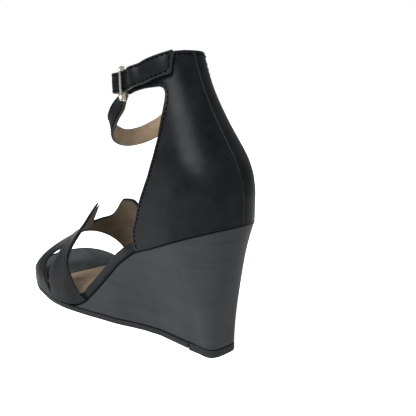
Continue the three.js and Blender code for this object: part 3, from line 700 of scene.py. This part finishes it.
def make_wedge_seam_shade():
    """A near-black thread tube along the seam between the wedge cover and the upper, from one front end to
    the other: painted shade for the shadowed seam.
    """
    share = np.linspace(0, 0.985, 210)
    medial, lateral = (wedge_wall(share, np.ones(len(share)), side, 0.12) for side in (-1, 1))
    path = np.vstack([medial[:0:-1], lateral])
    grid_piece("wedge_seam_shade_tube", tube(path, SEAM_SHADE_TUBE), False, thread)


def make_top_lift():
    share = np.linspace(0, WEDGE_ROUND, 40)
    x_round, y_round = wall_point(share, np.zeros(40))[:2]
    half = np.vstack([np.stack([x_round, y_round], 1), [[BREAST - 0.2, HEEL_BASE + 1.2]]])
    outline = np.vstack([half, (half * [1, -1])[:0:-1]])

    def top(flat):
        return np.stack([flat[:, 0], flat[:, 1], np.full(len(flat), HEEL_GAP + OUTSOLE)], 1)

    def treads(flat, distance):
        wave = 0.5 + 0.5 * np.cos(flat[:, 0] * 2 * np.pi / 4)
        return -0.4 * smoothstep(distance, 2, 2.8) * wave**2

    panel("top_lift_rubber", outline, top, HEEL_GAP + OUTSOLE, sole_look, edge=0.45,
          step=0.9, under=treads, replaces=["top_lift"])


# ---------------------------------------------------------------- footbed
def plan_point(share, side, inset):
    step = 1e-3

    def at(s):
        x = HEEL_END + (TOE - HEEL_END) * (1 - np.cos(np.pi * np.clip(s, 0, 1))) / 2
        return np.stack([x, half_width(x, side)], -1)

    along = at(share + step) - at(share - step)
    along /= np.maximum(np.linalg.norm(along, axis=-1, keepdims=True), 1e-9)
    here = at(share)
    return here[..., 0] + along[..., 1] * inset, side * (here[..., 1] - along[..., 0] * inset)


def rim_inset(x, side):
    start = np.where(np.asarray(side) > 0, 64, 72)
    open_part = smoothstep(x - start, 0, 6) * (1 - smoothstep(x, 112, 121))
    return RIM_INSET + (0.3 - RIM_INSET) * open_part


def make_rim():
    """The folded leather strip round the edge of the footbed, its ends meeting under the vamp; its leather is
    made lighter than the quarters' as painted light on its upward face.
    """
    turn = (0.62 + np.linspace(0.002, 0.998, 420)) % 1
    side = np.where(turn < 0.5, 1, -1)
    share = np.where(turn < 0.5, 2 * turn, 2 - 2 * turn)
    base = plan_point(share, side, 0)[0]
    outer_inset = rim_inset(base, side)
    low, high = GAP, BED - 0.2
    profile = [(0, low), (0, low + 0.4 * (high - low)), (-0.05, low + 0.7 * (high - low)), (0.02, high - 0.5),
               (0.2, high - 0.15), (0.6, high), (1.0, high - 0.12), (1.2, high - 0.5), (1.2, low)]
    rows = []
    for inset, height in profile:
        x, y = plan_point(share, side, outer_inset + inset)
        up_x, z = above_feather(x, height)
        rows.append(np.stack([up_x, y, z], 1))
    grid_piece("footbed_rim_leather", np.stack(rows, 1), False, rim_black_painted_light,
               replaces=["footbed_rim"])


def bed_surface(height):
    def surface(flat):
        x, z = above_feather(flat[:, 0], height)
        return np.stack([x, flat[:, 1], z], 1)

    return surface


SPLIT_X = HEEL_END + (TOE - HEEL_END) * (1 - math.cos(math.pi * 0.72)) / 2


def make_socks():
    """The two parts of the sock lining over the foam, softly sunk where the foot rests; the forepart's black
    leather is made lighter as painted light on its upward face.
    """
    whole = plan_loop(half_width, HEEL_END, BED_INSET, 220)
    rear = whole[whole[:, 0] < SPLIT_X - 0.15]
    front = whole[whole[:, 0] > SPLIT_X + 0.15]
    rear = np.vstack([rear[rear[:, 1] >= 0], [[SPLIT_X - 0.1, half_width(SPLIT_X, 1) - BED_INSET]],
                      [[SPLIT_X - 0.1, -half_width(SPLIT_X, -1) + BED_INSET]], rear[rear[:, 1] < 0]])
    lateral, medial = front[front[:, 1] >= 0], front[front[:, 1] < 0]
    front = np.vstack([[[SPLIT_X + 0.1, half_width(SPLIT_X, 1) - BED_INSET]], lateral, medial,
                       [[SPLIT_X + 0.1, -half_width(SPLIT_X, -1) + BED_INSET]]])

    def dip(flat, distance):
        return 0.35 * smoothstep(distance, 2, 14) + 0.2 * (1 - smoothstep(distance, 0, 1.2))

    for name, outline, look, slot in (("heel_sock", rear, taupe, "lining_leather"),
                                      ("forepart_sock", front, sock_black_painted_light, "sock_black_leather")):
        panel(f"{name}_leather", outline, bed_surface(BED), SOCK, look, edge=0.4, step=2.2,
              relief=dip, replaces=[name])


# ---------------------------------------------------------------- quarters
seam_line = through([48, -5], [100, -5], [109, -3.7], [120, 0.8], [130, 7.6], [140, 15], [150, 21.8],
                    [162, 28.7], [172, 33.2], [181, 36.3], [190, 38.6])
collar_depth = through([48, 35], [90, 34], [120, 30], [150, 26], [172, 22], [190, 20])
collar_width = through([48, 28.5], [90, 28.7], [115, 27.8], [140, 23.6], [165, 20], [190, 18.6])
FRONT_WIDTH = {
    1: through([48, 28.9], [95, 28.9], [150, 24], [165, 22.6], [190, 21.6]),
    -1: through([48, 27.6], [95, 27.4], [150, 25], [165, 24.4], [190, 24]),
}
ROUND = 90  # length given to the whole run of a quarter, back seam to front, in its flat pattern
TAB_START = 0.42 * ROUND
TAB_MIDDLE = 165


def quarter_point(a, z, side):
    """Outside of a quarter: a goes forward from the back seam, z is the height."""
    turn = np.asarray(a, float) / ROUND
    back, depth, width = seam_line(z), collar_depth(z), collar_width(z)
    angle = np.pi * np.clip(turn, 0, 0.5)
    ahead = np.clip(2 * turn - 1, 0, None)
    side_x = back + depth + (SHELL_FRONT - back - depth) * ahead
    x = np.where(turn < 0.5, back + depth * (1 - np.cos(angle)), side_x)
    y = np.where(turn < 0.5, width * np.sin(angle), width + (FRONT_WIDTH[side](z) - width) * ahead)
    return np.stack([x, side * y, np.asarray(z, float) + 0 * x], -1)


def pattern(points):
    """Side view points, x and z, as points of a quarter's flat pattern."""
    x, z = np.array(points, float).T
    back, depth = seam_line(z), collar_depth(z)
    curved = ROUND / np.pi * np.arccos(np.clip(1 - (x - back) / depth, -1, 1))
    straight = ROUND / 2 * (1 + (x - back - depth) / (SHELL_FRONT - back - depth))
    return np.stack([np.where(x < back + depth, curved, straight), z], 1)


def foot_line(a_end, side, lift=0.0, count=60):
    """Lower edge of a quarter, just above the feather line or raised over it."""
    a = np.linspace(0, a_end, count)
    z = np.full(count, 80.0)
    for _ in range(12):
        z = 0.5 * z + 0.5 * (feather(quarter_point(a, z, side)[:, 0]) - 0.1 + lift)
    return np.stack([a, z], 1)


def smooth_path(points, samples=400):
    """Even points on the centripetal spline through the given points."""
    points = np.asarray(points, float)
    ends = np.vstack([2 * points[0] - points[1], points, 2 * points[-1] - points[-2]])
    fine = []
    for i in range(1, len(ends) - 2):
        p0, p1, p2, p3 = ends[i - 1:i + 3]
        d = [max(np.linalg.norm(q - p) ** 0.5, 1e-6) for p, q in ((p0, p1), (p1, p2), (p2, p3))]
        t1 = ((p1 - p0) / d[0] - (p2 - p0) / (d[0] + d[1]) + (p2 - p1) / d[1]) * d[1]
        t2 = ((p2 - p1) / d[1] - (p3 - p1) / (d[1] + d[2]) + (p3 - p2) / d[2]) * d[1]
        t = np.linspace(0, 1, 40, endpoint=i == len(ends) - 3)[:, None]
        fine.append(p1 + t * t1 + t**2 * (3 * (p2 - p1) - 2 * t1 - t2) + t**3 * (2 * (p1 - p2) + t1 + t2))
    fine = np.vstack(fine)
    run = np.concatenate([[0], np.cumsum(np.linalg.norm(np.diff(fine, axis=0), axis=1))])
    even = np.linspace(0, run[-1], samples)
    return np.stack([np.interp(even, run, fine[:, k]) for k in range(fine.shape[1])], 1), run[-1]


def tab_route():
    """Plan of the tab's outer face, from the quarter to its end just behind the hinge bar of the buckle."""
    leaving = quarter_point(np.array([0.42, 0.5, 0.6]) * ROUND, np.full(3, TAB_MIDDLE), 1)[:, :2]
    along = np.array([math.cos(TAB_TURN), math.sin(TAB_TURN)])
    out = np.array([-along[1], along[0]])
    outer = LOOP + 2 * GAP + UPPER
    behind_bar = [HINGE[:2] + along * back + out * outer for back in (-14, -9, -TAB_REST)]
    route, length = smooth_path(np.vstack([leaving, behind_bar]))
    return route, np.linspace(0, length, len(route))


TAB, TAB_RUN = tab_route()
TAB_END = TAB_START + TAB_RUN[-1]


def lateral_surface(flat):
    """The lateral quarter and, from TAB_START on near its top, the tab that holds the buckle."""
    a, z = flat[:, 0], flat[:, 1]
    quarter = quarter_point(a, z, 1)
    run = np.clip(a - TAB_START, 0, TAB_RUN[-1])
    tab = np.stack([np.interp(run, TAB_RUN, TAB[:, 0]), np.interp(run, TAB_RUN, TAB[:, 1]), z], 1)
    leave = 1 - smoothstep(run, 0, 14)
    start = quarter_point(np.full(len(a), TAB_START), z, 1)
    tab[:, :2] += leave[:, None] * (start[:, :2] - TAB[0])
    share = smoothstep(z, 148, 158) * (a > TAB_START)
    return quarter + (tab - quarter) * share[:, None]


def medial_surface(flat):
    return quarter_point(flat[:, 0], flat[:, 1], -1)


def below(surface, depth, outward):
    """The surface moved inward by a depth, or by depth(flat)."""
    def lowered(flat):
        amount = depth(flat) if callable(depth) else np.full(len(flat), depth)
        return surface(flat) - surface_normals(surface, flat, outward) * amount[:, None]

    return lowered


LATERAL_FRONT = [(61, 61.4), (62.5, 66), (63.6, 71), (63.2, 75), (61.4, 79), (58.9, 85.5), (55.6, 93.5),
                 (51.5, 101.5), (47.6, 109), (44.1, 117.5), (41.4, 126), (39.9, 134), (39.4, 142),
                 (39.3, 150), (39.6, 155), (40.4, 158.2), (42, 160.2), (44.5, 160.9)]
MEDIAL_FRONT = [(66, 61.4), (69.5, 68), (71.5, 76), (71.2, 83), (69, 90), (65.4, 101), (60.5, 112),
                (55.6, 121.5), (50.5, 131), (46, 139.5), (43, 147), (41.6, 155), (41.4, 163),
                (42.4, 170), (44.6, 176)]
COLLAR_LATERAL = [(48, 176.2), (44, 178.9), (41, 180.2), (37.5, 180.9)]
COLLAR_MEDIAL = [(44.3, 179.4), (42, 180.6), (38, 181)]


def quarter_outlines():
    """Flat pattern outlines of both quarters, as named edges in order."""
    lateral = {}
    lateral["foot"] = foot_line(float(pattern([LATERAL_FRONT[0]])[0, 0]), 1)
    lateral["front"], _ = smooth_path(pattern(LATERAL_FRONT), 160)
    low_end, high_end = HINGE[2] - TAB_WIDTH / 2, HINGE[2] + TAB_WIDTH / 2
    lateral["tab_low"], _ = smooth_path([(lateral["front"][-1, 0] + 1, 160.9), (TAB_START + 8, 160.1),
                                         (TAB_START + 18, 158.6), (TAB_END - 1, low_end + 0.2),
                                         (TAB_END, low_end + 0.8)], 120)
    lateral["tab_high"], _ = smooth_path([(TAB_END, high_end - 0.6), (TAB_END - 1, high_end),
                                          (TAB_START + 22, 171), (TAB_START + 10, 173.2),
                                          (TAB_START, 175)], 120)
    lateral["collar"] = pattern(COLLAR_LATERAL)
    lateral["back"] = np.array([(0, 181), (0, 130)])
    medial = {"foot": foot_line(float(pattern([MEDIAL_FRONT[0]])[0, 0]), -1)}
    medial["front"], _ = smooth_path(pattern(MEDIAL_FRONT), 160)
    medial["collar"] = pattern(COLLAR_MEDIAL)
    medial["back"] = np.array([(0, 181), (0, 130)])
    return lateral, medial


def rounded_slot(low, high, middle, half):
    turn = np.linspace(-np.pi / 2, np.pi / 2, 9)
    right = [(high - half + half * math.cos(t), middle + half * math.sin(t)) for t in turn]
    left = [(low + half - half * math.cos(t), middle - half * math.sin(t)) for t in turn]
    return np.array(right + left)


def counter_bulge(flat, side):
    """1 where the stiff heel counter lies between upper and lining, 0 where they touch."""
    x = quarter_point(flat[:, 0], flat[:, 1], side)[:, 0]
    top = np.interp(x, [10, 26, 34, 44, 52], [138, 131, 117, 97, 60])
    return 1 - smoothstep(flat[:, 1] - top, 0.5, 9)


def make_quarters():
    lateral, medial = quarter_outlines()
    quarters = (("lateral", lateral, lateral_surface, -1), ("medial", medial, medial_surface, 1))
    for name, edges, surface, outward in quarters:
        panel(f"quarter_{name}_leather", np.vstack(list(edges.values())), surface, UPPER, black,
              outward=outward, edge=0.5, step=1.7, groove=QUARTER_SEWN,
              replaces=[f"quarter_{name}"])
    for name, edges, surface, outward in quarters:
        loops = [resample(np.vstack(list(edges.values())), 0.9, closed=True)]
        front = [edges[k] for k in ("front", "tab_low") if k in edges]
        collar = [edges[k] for k in ("tab_high", "collar") if k in edges] + [edges["back"][:1]]
        for part, line in (("front", front), ("collar", collar)):
            sewn = inward(resample(np.vstack(line), 0.9), QUARTER_SEWN, loops)
            stitches(f"stitches_{name}_{part}", sewn, surface, thread, outward)


def make_back_seam():
    """The raised piping over the seam of the two quarters at the back, its leather made lighter as a painted
    highlight on the raised seam.
    """
    foot = foot_line(1, 1, count=2)[0, 1]
    line = np.stack([np.zeros(160), np.linspace(180.3, foot + 0.3, 160)], 1)
    path = lateral_surface(line) - surface_normals(lateral_surface, line, -1) * 0.12
    grid_piece("back_seam_piping", tube(path, PIPING, 10, up=(0, 1, 0)), False, piping_black_painted_highlight)


def make_quarter_linings():
    """Taupe lining behind both quarters. It swells inward over the heel counter."""
    for name, side, outward, surface, front, collar in (
            ("lateral", 1, -1, lateral_surface, LATERAL_FRONT, COLLAR_LATERAL),
            ("medial", -1, 1, medial_surface, MEDIAL_FRONT, COLLAR_MEDIAL)):
        edge = [p for p in front if p[1] > float(bed_top(p[0])) + 1.2]
        front_edge, _ = smooth_path(pattern(edge[:-1] if side > 0 else edge), 140)
        foot = foot_line(front_edge[0, 0], side, BED + 0.5)
        top = [tuple(p) for p in pattern(collar)] + [(0, 180.2)]
        if side > 0:
            top = [(TAB_START - 2, 160.5), (TAB_START - 2, 174.5)] + top
        outline = resample(np.vstack([foot, front_edge, np.array(top)]), 0.8, closed=True)
        outline = inward(outline, 0.35, [outline], closed=True)

        def depth(flat, side=side):
            return UPPER + 0.03 + (COUNTER + 2 * GAP) * counter_bulge(flat, side)

        panel(f"quarter_lining_{name}", outline, below(surface, depth, outward), LINING, taupe,
                            outward=outward, edge=0.3, step=2)
    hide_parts("quarter_lining")


# ---------------------------------------------------------------- vamp
WALL, ROUNDNESS = 0.88, 1.7
SPREAD = 62  # length given to half the way across the vamp in its flat pattern
vamp_height = through([118, 77], [132, 73], [145, 60], [157, 49], [171, 40], [185, 31], [203, 23])
vamp_rear = through([-1, 121], [-0.8, 122.5], [-0.5, 120.5], [-0.29, 123], [-0.175, 133.5], [-0.145, 148.5],
                    [-0.06, 154.3], [0.03, 158], [0.1, 150], [0.19, 132.5], [0.32, 142.5], [0.48, 147],
                    [0.57, 145.5], [0.7, 138], [0.84, 128.5], [1, 119])
vamp_front = through([-1, 164], [-0.55, 171.6], [-0.27, 176.5], [-0.08, 178.8], [0.2, 184], [0.5, 192],
                     [1, 200])
slit_rear = through([0.38, 164.4], [0.48, 165.5], [0.61, 168], [0.69, 166.4], [0.76, 164], [0.95, 160.5])
slit_front = through([0.38, 165.6], [0.44, 177], [0.54, 181], [0.635, 179.5], [0.757, 174.4], [0.866, 168.6],
                     [0.95, 162.4])
band_edge = through([-0.2, 177.5], [-0.08, 178.8], [0.1, 173], [0.2, 168.6], [0.3, 165.6], [0.38, 164.4])


def vamp_surface(flat):
    """Outside of the vamp over its pattern: the way across times SPREAD, and x."""
    across, x = flat[:, 0] / SPREAD, flat[:, 1]
    side = np.where(across < 0, -1, 1)
    way = np.abs(across)
    lean = np.sin(np.pi / 2 * np.clip(way / WALL, 0, 1))
    arch = vamp_height(x) * np.clip(1 - lean**ROUNDNESS, 0, 1) ** (1 / ROUNDNESS)
    foot = feather(x) + 2 * GAP
    down = np.clip((way - WALL) / (1 - WALL), 0, 1)
    return np.stack([x, side * half_width(x, side) * lean, foot + BED * (1 - down) + arch], 1)


def vamp_outline(reach, trim):
    """Pattern outline of the vamp out to reach on both sides, its two edges moved in by trim."""
    across = np.linspace(-reach, reach, 260)
    rear = np.stack([across * SPREAD, vamp_rear(across) + trim], 1)
    front = np.stack([across * SPREAD, vamp_front(across) - trim], 1)
    return np.vstack([rear, front[::-1]])


def slit_outline(grow):
    across = np.linspace(0.38, 0.95, 70)
    rear = np.stack([across * SPREAD, slit_rear(across) - grow], 1)
    front = np.stack([across * SPREAD, slit_front(across) + grow], 1)
    return np.vstack([rear, front[::-1]])


def make_vamp():
    """The crossed bands: the rear band lies over the front one along band_edge."""
    def overlap(flat, distance):
        across, x = flat[:, 0] / SPREAD, flat[:, 1]
        ahead = smoothstep(x - band_edge(across), -0.3, 0.5)
        near = smoothstep(across, -0.2, -0.02) * (1 - smoothstep(across, 0.5, 0.9))
        return 0.6 * ahead * near

    panel("vamp_leather", vamp_outline(1, 0), vamp_surface, UPPER, vamp_black, outward=-1,
          edge=0.5, step=1.5, holes=[slit_outline(0)], relief=overlap,
          replaces=["vamp"])
    panel("vamp_lining_leather", vamp_outline(0.875, 0.4), below(vamp_surface, UPPER + 0.62, -1), LINING,
          brown, outward=-1, edge=0.3, step=1.8, holes=[slit_outline(0.4)],
          replaces=["vamp_lining"])


# ---------------------------------------------------------------- place of the buckle
FORWARD = np.array([math.cos(FRAME_TURN), math.sin(FRAME_TURN), 0])
OUT = np.array([-math.sin(FRAME_TURN), math.cos(FRAME_TURN), 0])


def on_hinge(points):
    """Points given as distance to the front, height up the bar and distance outward, from the hinge bar."""
    points = np.asarray(points, float)
    return HINGE + points[..., :1] * FORWARD + points[..., 1:2] * [0, 0, 1] + points[..., 2:] * OUT


# ---------------------------------------------------------------- ankle strap
def strap_ends(places, side, inset):
    """Points of the strap's path by a quarter, from the turn round the heel and the height of each."""
    def surface(flat):
        return quarter_point(flat[:, 0], flat[:, 1], side)

    made = []
    for turn, z in places:
        flat = np.array([[turn * ROUND, z]])
        made.append((surface(flat) - surface_normals(surface, flat, -side) * inset)[0])
    return made


STRAP_PATH, STRAP_RUN = smooth_path(
    strap_ends([(0.195, 174.3), (0.32, 172.1), (0.44, 169.9), (0.55, 168)], 1, -2.7)
    + [np.array(p) for p in ((61.5, 25.9, 166.4), (67.5, 24.1, 165.2), (72.8, 23.35, 164),
                             (77.4, 24.7, 163.3), (81.6, 25.1, 163), (84.4, 21.7, 162.9),
                             (85, 17.4, 162.8), (86.6, 13.2, 162.5), (91.4, 9.4, 161.2),
                             (96, 7.6, 157.4), (100, 8.6, 151.4), (105.4, 10.6, 144.4),
                             (111.2, 9.8, 136.6), (115.2, 3.6, 130), (116.6, -6, 126.8),
                             (113.4, -15.6, 128.4), (106, -22.6, 133.2), (95, -26, 139.8),
                             (82, -26.4, 147.4), (69, -25, 155), (57, -23, 161.6))]
    + strap_ends([(0.44, 166.6), (0.34, 168.2)], -1, 3.4), 900)
strap_facing = through([0, 112], [0.1, 98], [0.2, 84], [0.26, 50], [0.3, 46], [0.36, 62], [0.41, 86],
                       [0.45, 84], [0.5, 44], [0.56, -4], [0.61, -38], [0.66, -62], [0.74, -82], [1, -96])


def strap_frame(run):
    """Middle of the strap, its width direction and its outward direction at a distance along it."""
    even = np.linspace(0, STRAP_RUN, len(STRAP_PATH))
    middle, behind, ahead = (np.stack([np.interp(at, even, STRAP_PATH[:, k]) for k in range(3)], -1)
                             for at in (run, run - 0.4, run + 0.4))
    along = ahead - behind
    along /= np.linalg.norm(along, axis=-1, keepdims=True)
    angle = np.radians(strap_facing(run / STRAP_RUN))
    away = np.stack([np.cos(angle), np.sin(angle), 0 * angle], -1)
    away -= along * (away * along).sum(-1, keepdims=True)
    away /= np.linalg.norm(away, axis=-1, keepdims=True)
    return middle, np.cross(away, along), away


def strap_surface(lift):
    """Face of the strap over its flat shape, distance along and across, lift outside its middle."""
    def surface(flat):
        middle, wide, away = strap_frame(np.clip(flat[:, 0], 0.5, STRAP_RUN - 0.5))
        return middle + wide * flat[:, 1:2] + away * lift

    return surface


def make_strap():
    half = STRAP_WIDTH / 2
    outline = np.array([(0.6, -half + 0.9), (0.8, -half + 0.25), (1.5, -half), (STRAP_RUN - 0.6, -half),
                        (STRAP_RUN - 0.6, half), (6.0, half), (5.2, half - 0.25), (4.7, half - 0.9)])
    even = np.linspace(0, STRAP_RUN, len(STRAP_PATH))
    crossing = even[np.linalg.norm(STRAP_PATH - on_hinge([5.3, 0, 2.2]), axis=1).argmin()]
    slot = rounded_slot(crossing - 2.7, crossing + 1.5, 0, 1.05)

    def crown(flat, distance):
        return -0.22 * smoothstep(distance, 1.9, 4.2)

    lift = STRAP_LIFT + STRAP
    panel("ankle_strap_leather", outline, strap_surface(lift), STRAP, strap_black,
          edge=0.45, step=1.4, holes=[slot], groove=STRAP_SEWN, relief=crown, replaces=["ankle_strap"])
    panel("ankle_strap_lining_leather", outline * [1, 0.965], strap_surface(LINING_LIFT), LINING, taupe,
          edge=0.25, step=1.8, holes=[slot], replaces=["ankle_strap_lining"])
    loops = [resample(outline, 0.9, closed=True)]
    rows = {"upper": [(STRAP_RUN - 2, half), (5.4, half)], "end": [(5.2, half), (0.8, -half)],
            "lower": [(1.0, -half), (STRAP_RUN - 2, -half)]}
    for name, row in rows.items():
        sewn = inward(resample(np.array(row, float), 0.9), STRAP_SEWN, loops)
        stitches(f"stitches_strap_{name}", sewn, strap_surface(lift), thread)
        if name != "end":
            stitches(f"stitches_strap_inner_{name}", sewn, strap_surface(LINING_LIFT - LINING),
                     taupe_thread, -1)


# ---------------------------------------------------------------- buckle
def bow(x):
    return np.where(x < 0, REAR_BOW * (x / FRAME_REAR) ** 2, FRONT_BOW * (x / FRAME_REACH) ** 2)


def squared_bar(path, closed):
    """Cross-sections of softly squared bar along a path in the plane of the frame, lifted onto its bow."""
    path = np.asarray(path, float)
    along = np.roll(path, -1, 0) - np.roll(path, 1, 0) if closed else np.gradient(path, axis=0)
    along /= np.linalg.norm(along, axis=1, keepdims=True)
    inner = np.cross([0, 0, 1], along)
    turn = np.linspace(0, 2 * np.pi, 20, endpoint=False)
    square = 0.49 * FRAME_BAR / (np.abs(np.cos(turn)) ** 4 + np.abs(np.sin(turn)) ** 4) ** 0.25
    section = np.stack([square * np.cos(turn), square * np.sin(turn)], 1)
    rings = path[:, None] + inner[:, None] * section[None, :, :1] + np.array([0, 0, 1]) * section[None, :, 1:]
    rings[..., 2] += bow(rings[..., 0])
    return rings


def make_buckle():
    """A bowed frame with a middle bar and the prong curled round that bar; the leather loop that holds it is
    made in make_buckle_loop.
    """
    radius, path = 2.6, []
    low, high, side = -FRAME_REAR + radius, FRAME_REACH - radius, FRAME_HALF - radius
    for x, y, start in ((high, side, 0), (low, side, 90), (low, -side, 180), (high, -side, 270)):
        for turn in np.radians(np.linspace(start, start + 90, 9)):
            path.append((x + radius * math.cos(turn), y + radius * math.sin(turn), 0))
    rounded = squared_bar(resample(path, 0.5, closed=True), True)
    frame_piece = grid_piece("buckle_frame_metal", on_hinge(rounded), True, buckle_look, "buckle_frame")
    bar = [(0, y, 0) for y in np.linspace(-FRAME_HALF, FRAME_HALF, 24)]
    grid_piece("buckle_middle_bar", on_hinge(squared_bar(bar, False)), False, buckle_look, "buckle_frame")
    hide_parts("buckle_frame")

    rise = FRAME_BAR / 2 + GAP + 0.75
    curl_radius = 1.75
    curl = [(curl_radius * math.cos(t), 0, curl_radius * math.sin(t))
            for t in np.linspace(math.radians(-215), math.radians(62), 26)]
    pin, _ = smooth_path(curl[-1:] + [(1.9, 0, rise), (3.6, 0, rise + 0.36), (7.5, 0, rise + 0.85),
                                      (FRAME_REACH - 0.4, 0, rise + 1.16),
                                      (FRAME_REACH + 1.1, 0, rise + 0.95)], 40)
    centre = np.vstack([curl, pin[1:]])
    run = np.linspace(0, 1, len(centre))
    radii = np.interp(run, [0, 0.03, 0.36, 0.5, 0.93, 0.985, 1], [0.3, 0.42, 0.45, 0.72, 0.66, 0.5, 0.15])
    grid_piece("buckle_prong_metal", on_hinge(tube(centre, radii, 14, up=(0, 1, 0))), False, buckle_look,
               "buckle_prong", replaces=["buckle_prong"])


def make_buckle_loop():
    """The folded strip that holds the middle bar, flat along one leg, the fold and the other leg."""
    along = np.array([math.cos(TAB_TURN), math.sin(TAB_TURN), 0])
    out = np.array([-along[1], along[0], 0])
    outer = LOOP_BORE + LOOP
    turn = np.linspace(1.806, -1.806, 60)
    fold = np.stack([outer * np.cos(turn), outer * np.sin(turn)], 1)
    upper_leg = np.array([(-8.5, LOOP + 0.02), (0.6 - TAB_REST, LOOP + 0.02)])
    route, length = smooth_path(np.vstack([upper_leg, fold[::6], upper_leg[::-1] * [1, -1]]), 500)
    runs = np.linspace(0, length, len(route))

    def surface(flat):
        x, w = (np.interp(flat[:, 0], runs, route[:, k])[:, None] for k in (0, 1))
        return HINGE + x * along + w * out + flat[:, 1:2] * [0, 0, 1]

    half = LOOP_WIDTH / 2 - 0.3
    outline = [(0.2, -half), (length - 0.2, -half), (length - 0.2, half), (0.2, half)]
    slot = rounded_slot(length / 2 - 5.6, length / 2 + 5.6, 0, 1.6)
    panel("buckle_loop_leather", np.array(outline), surface, LOOP - 0.02, strap_black, outward=-1,
          edge=0.3, step=0.8, holes=[slot], replaces=["buckle_loop"])


make_outsole()
make_wedge_cover()
make_top_lift()
make_rim()
make_socks()
make_quarters()
make_quarter_linings()
make_back_seam()
make_wedge_seam_shade()
make_vamp()
make_strap()
make_buckle_loop()
make_buckle()

for node, look in CAD_LOOKS.items():
    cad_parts[node].data.materials.clear()
    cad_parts[node].data.materials.append(look)


# ---------------------------------------------------------------- stage
def seen_by_camera(tree, unseen, seen, target):
    """Give a socket one value for camera rays and another for all others."""
    level = tree.nodes.new("ShaderNodeMapRange")
    level.inputs["To Min"].default_value = unseen
    level.inputs["To Max"].default_value = seen
    path = tree.nodes.new("ShaderNodeLightPath")
    tree.links.new(path.outputs["Is Camera Ray"], level.inputs["Value"])
    tree.links.new(level.outputs["Result"], target)


def make_floor():
    mesh = bpy.data.meshes.new("floor")
    mesh.from_pydata([(-3, -3, 0), (3, -3, 0), (3, 3, 0), (-3, 3, 0)], [], [(0, 1, 2, 3)])
    floor = bpy.data.objects.new("floor", mesh)
    bpy.context.scene.collection.objects.link(floor)
    look = Look("pale_floor")
    for name, value in (("Base Color", (0.9, 0.9, 0.9, 1)), ("Roughness", 0.9), ("Specular IOR Level", 0),
                        ("Emission Color", (1, 1, 1, 1))):
        look.inputs[name].default_value = value
    seen_by_camera(look.tree, 0.1, 1, look.inputs["Emission Strength"])
    mesh.materials.append(look.material)


def softbox(name, place, size, power):
    """A soft area light aimed at the middle of the shoe."""
    data = bpy.data.lights.new(name, "AREA")
    data.shape = "RECTANGLE"
    data.size, data.size_y = size
    data.energy = power
    light = bpy.data.objects.new(name, data)
    light.location = place
    light.rotation_euler = (Vector((0, 0, 0.08)) - Vector(place)).to_track_quat("-Z", "Y").to_euler()
    bpy.context.scene.collection.objects.link(light)


make_floor()
world = bpy.data.worlds.new("studio")
world.use_nodes = True
backdrop = world.node_tree.nodes["Background"]
backdrop.inputs["Color"].default_value = (1, 1, 1, 1)
seen_by_camera(world.node_tree, 0.4, 1, backdrop.inputs["Strength"])
bpy.context.scene.world = world
softbox("key", (-0.3, 0.95, 1.0), (0.8, 0.8), 29)
softbox("fill", (-1.0, -0.3, 0.5), (0.7, 0.7), 1)
softbox("rim_light", (0.8, 0.5, 0.9), (0.8, 0.5), 6)

# The photo's camera: behind the shoe on its outer side, above it and looking down.
camera_data = bpy.data.cameras.new("camera")
camera_data.lens = 44.9
camera_data.shift_y = 0.0745
camera = bpy.data.objects.new("camera", camera_data)
camera.location = to_frame([-202.1, 204.4, 156.0])
camera.rotation_euler = (math.radians(90 - 15.47), 0, math.atan2(-0.742, -0.670))
bpy.context.scene.collection.objects.link(camera)
bpy.context.scene.camera = camera
bpy.context.scene.view_settings.view_transform = "Standard"
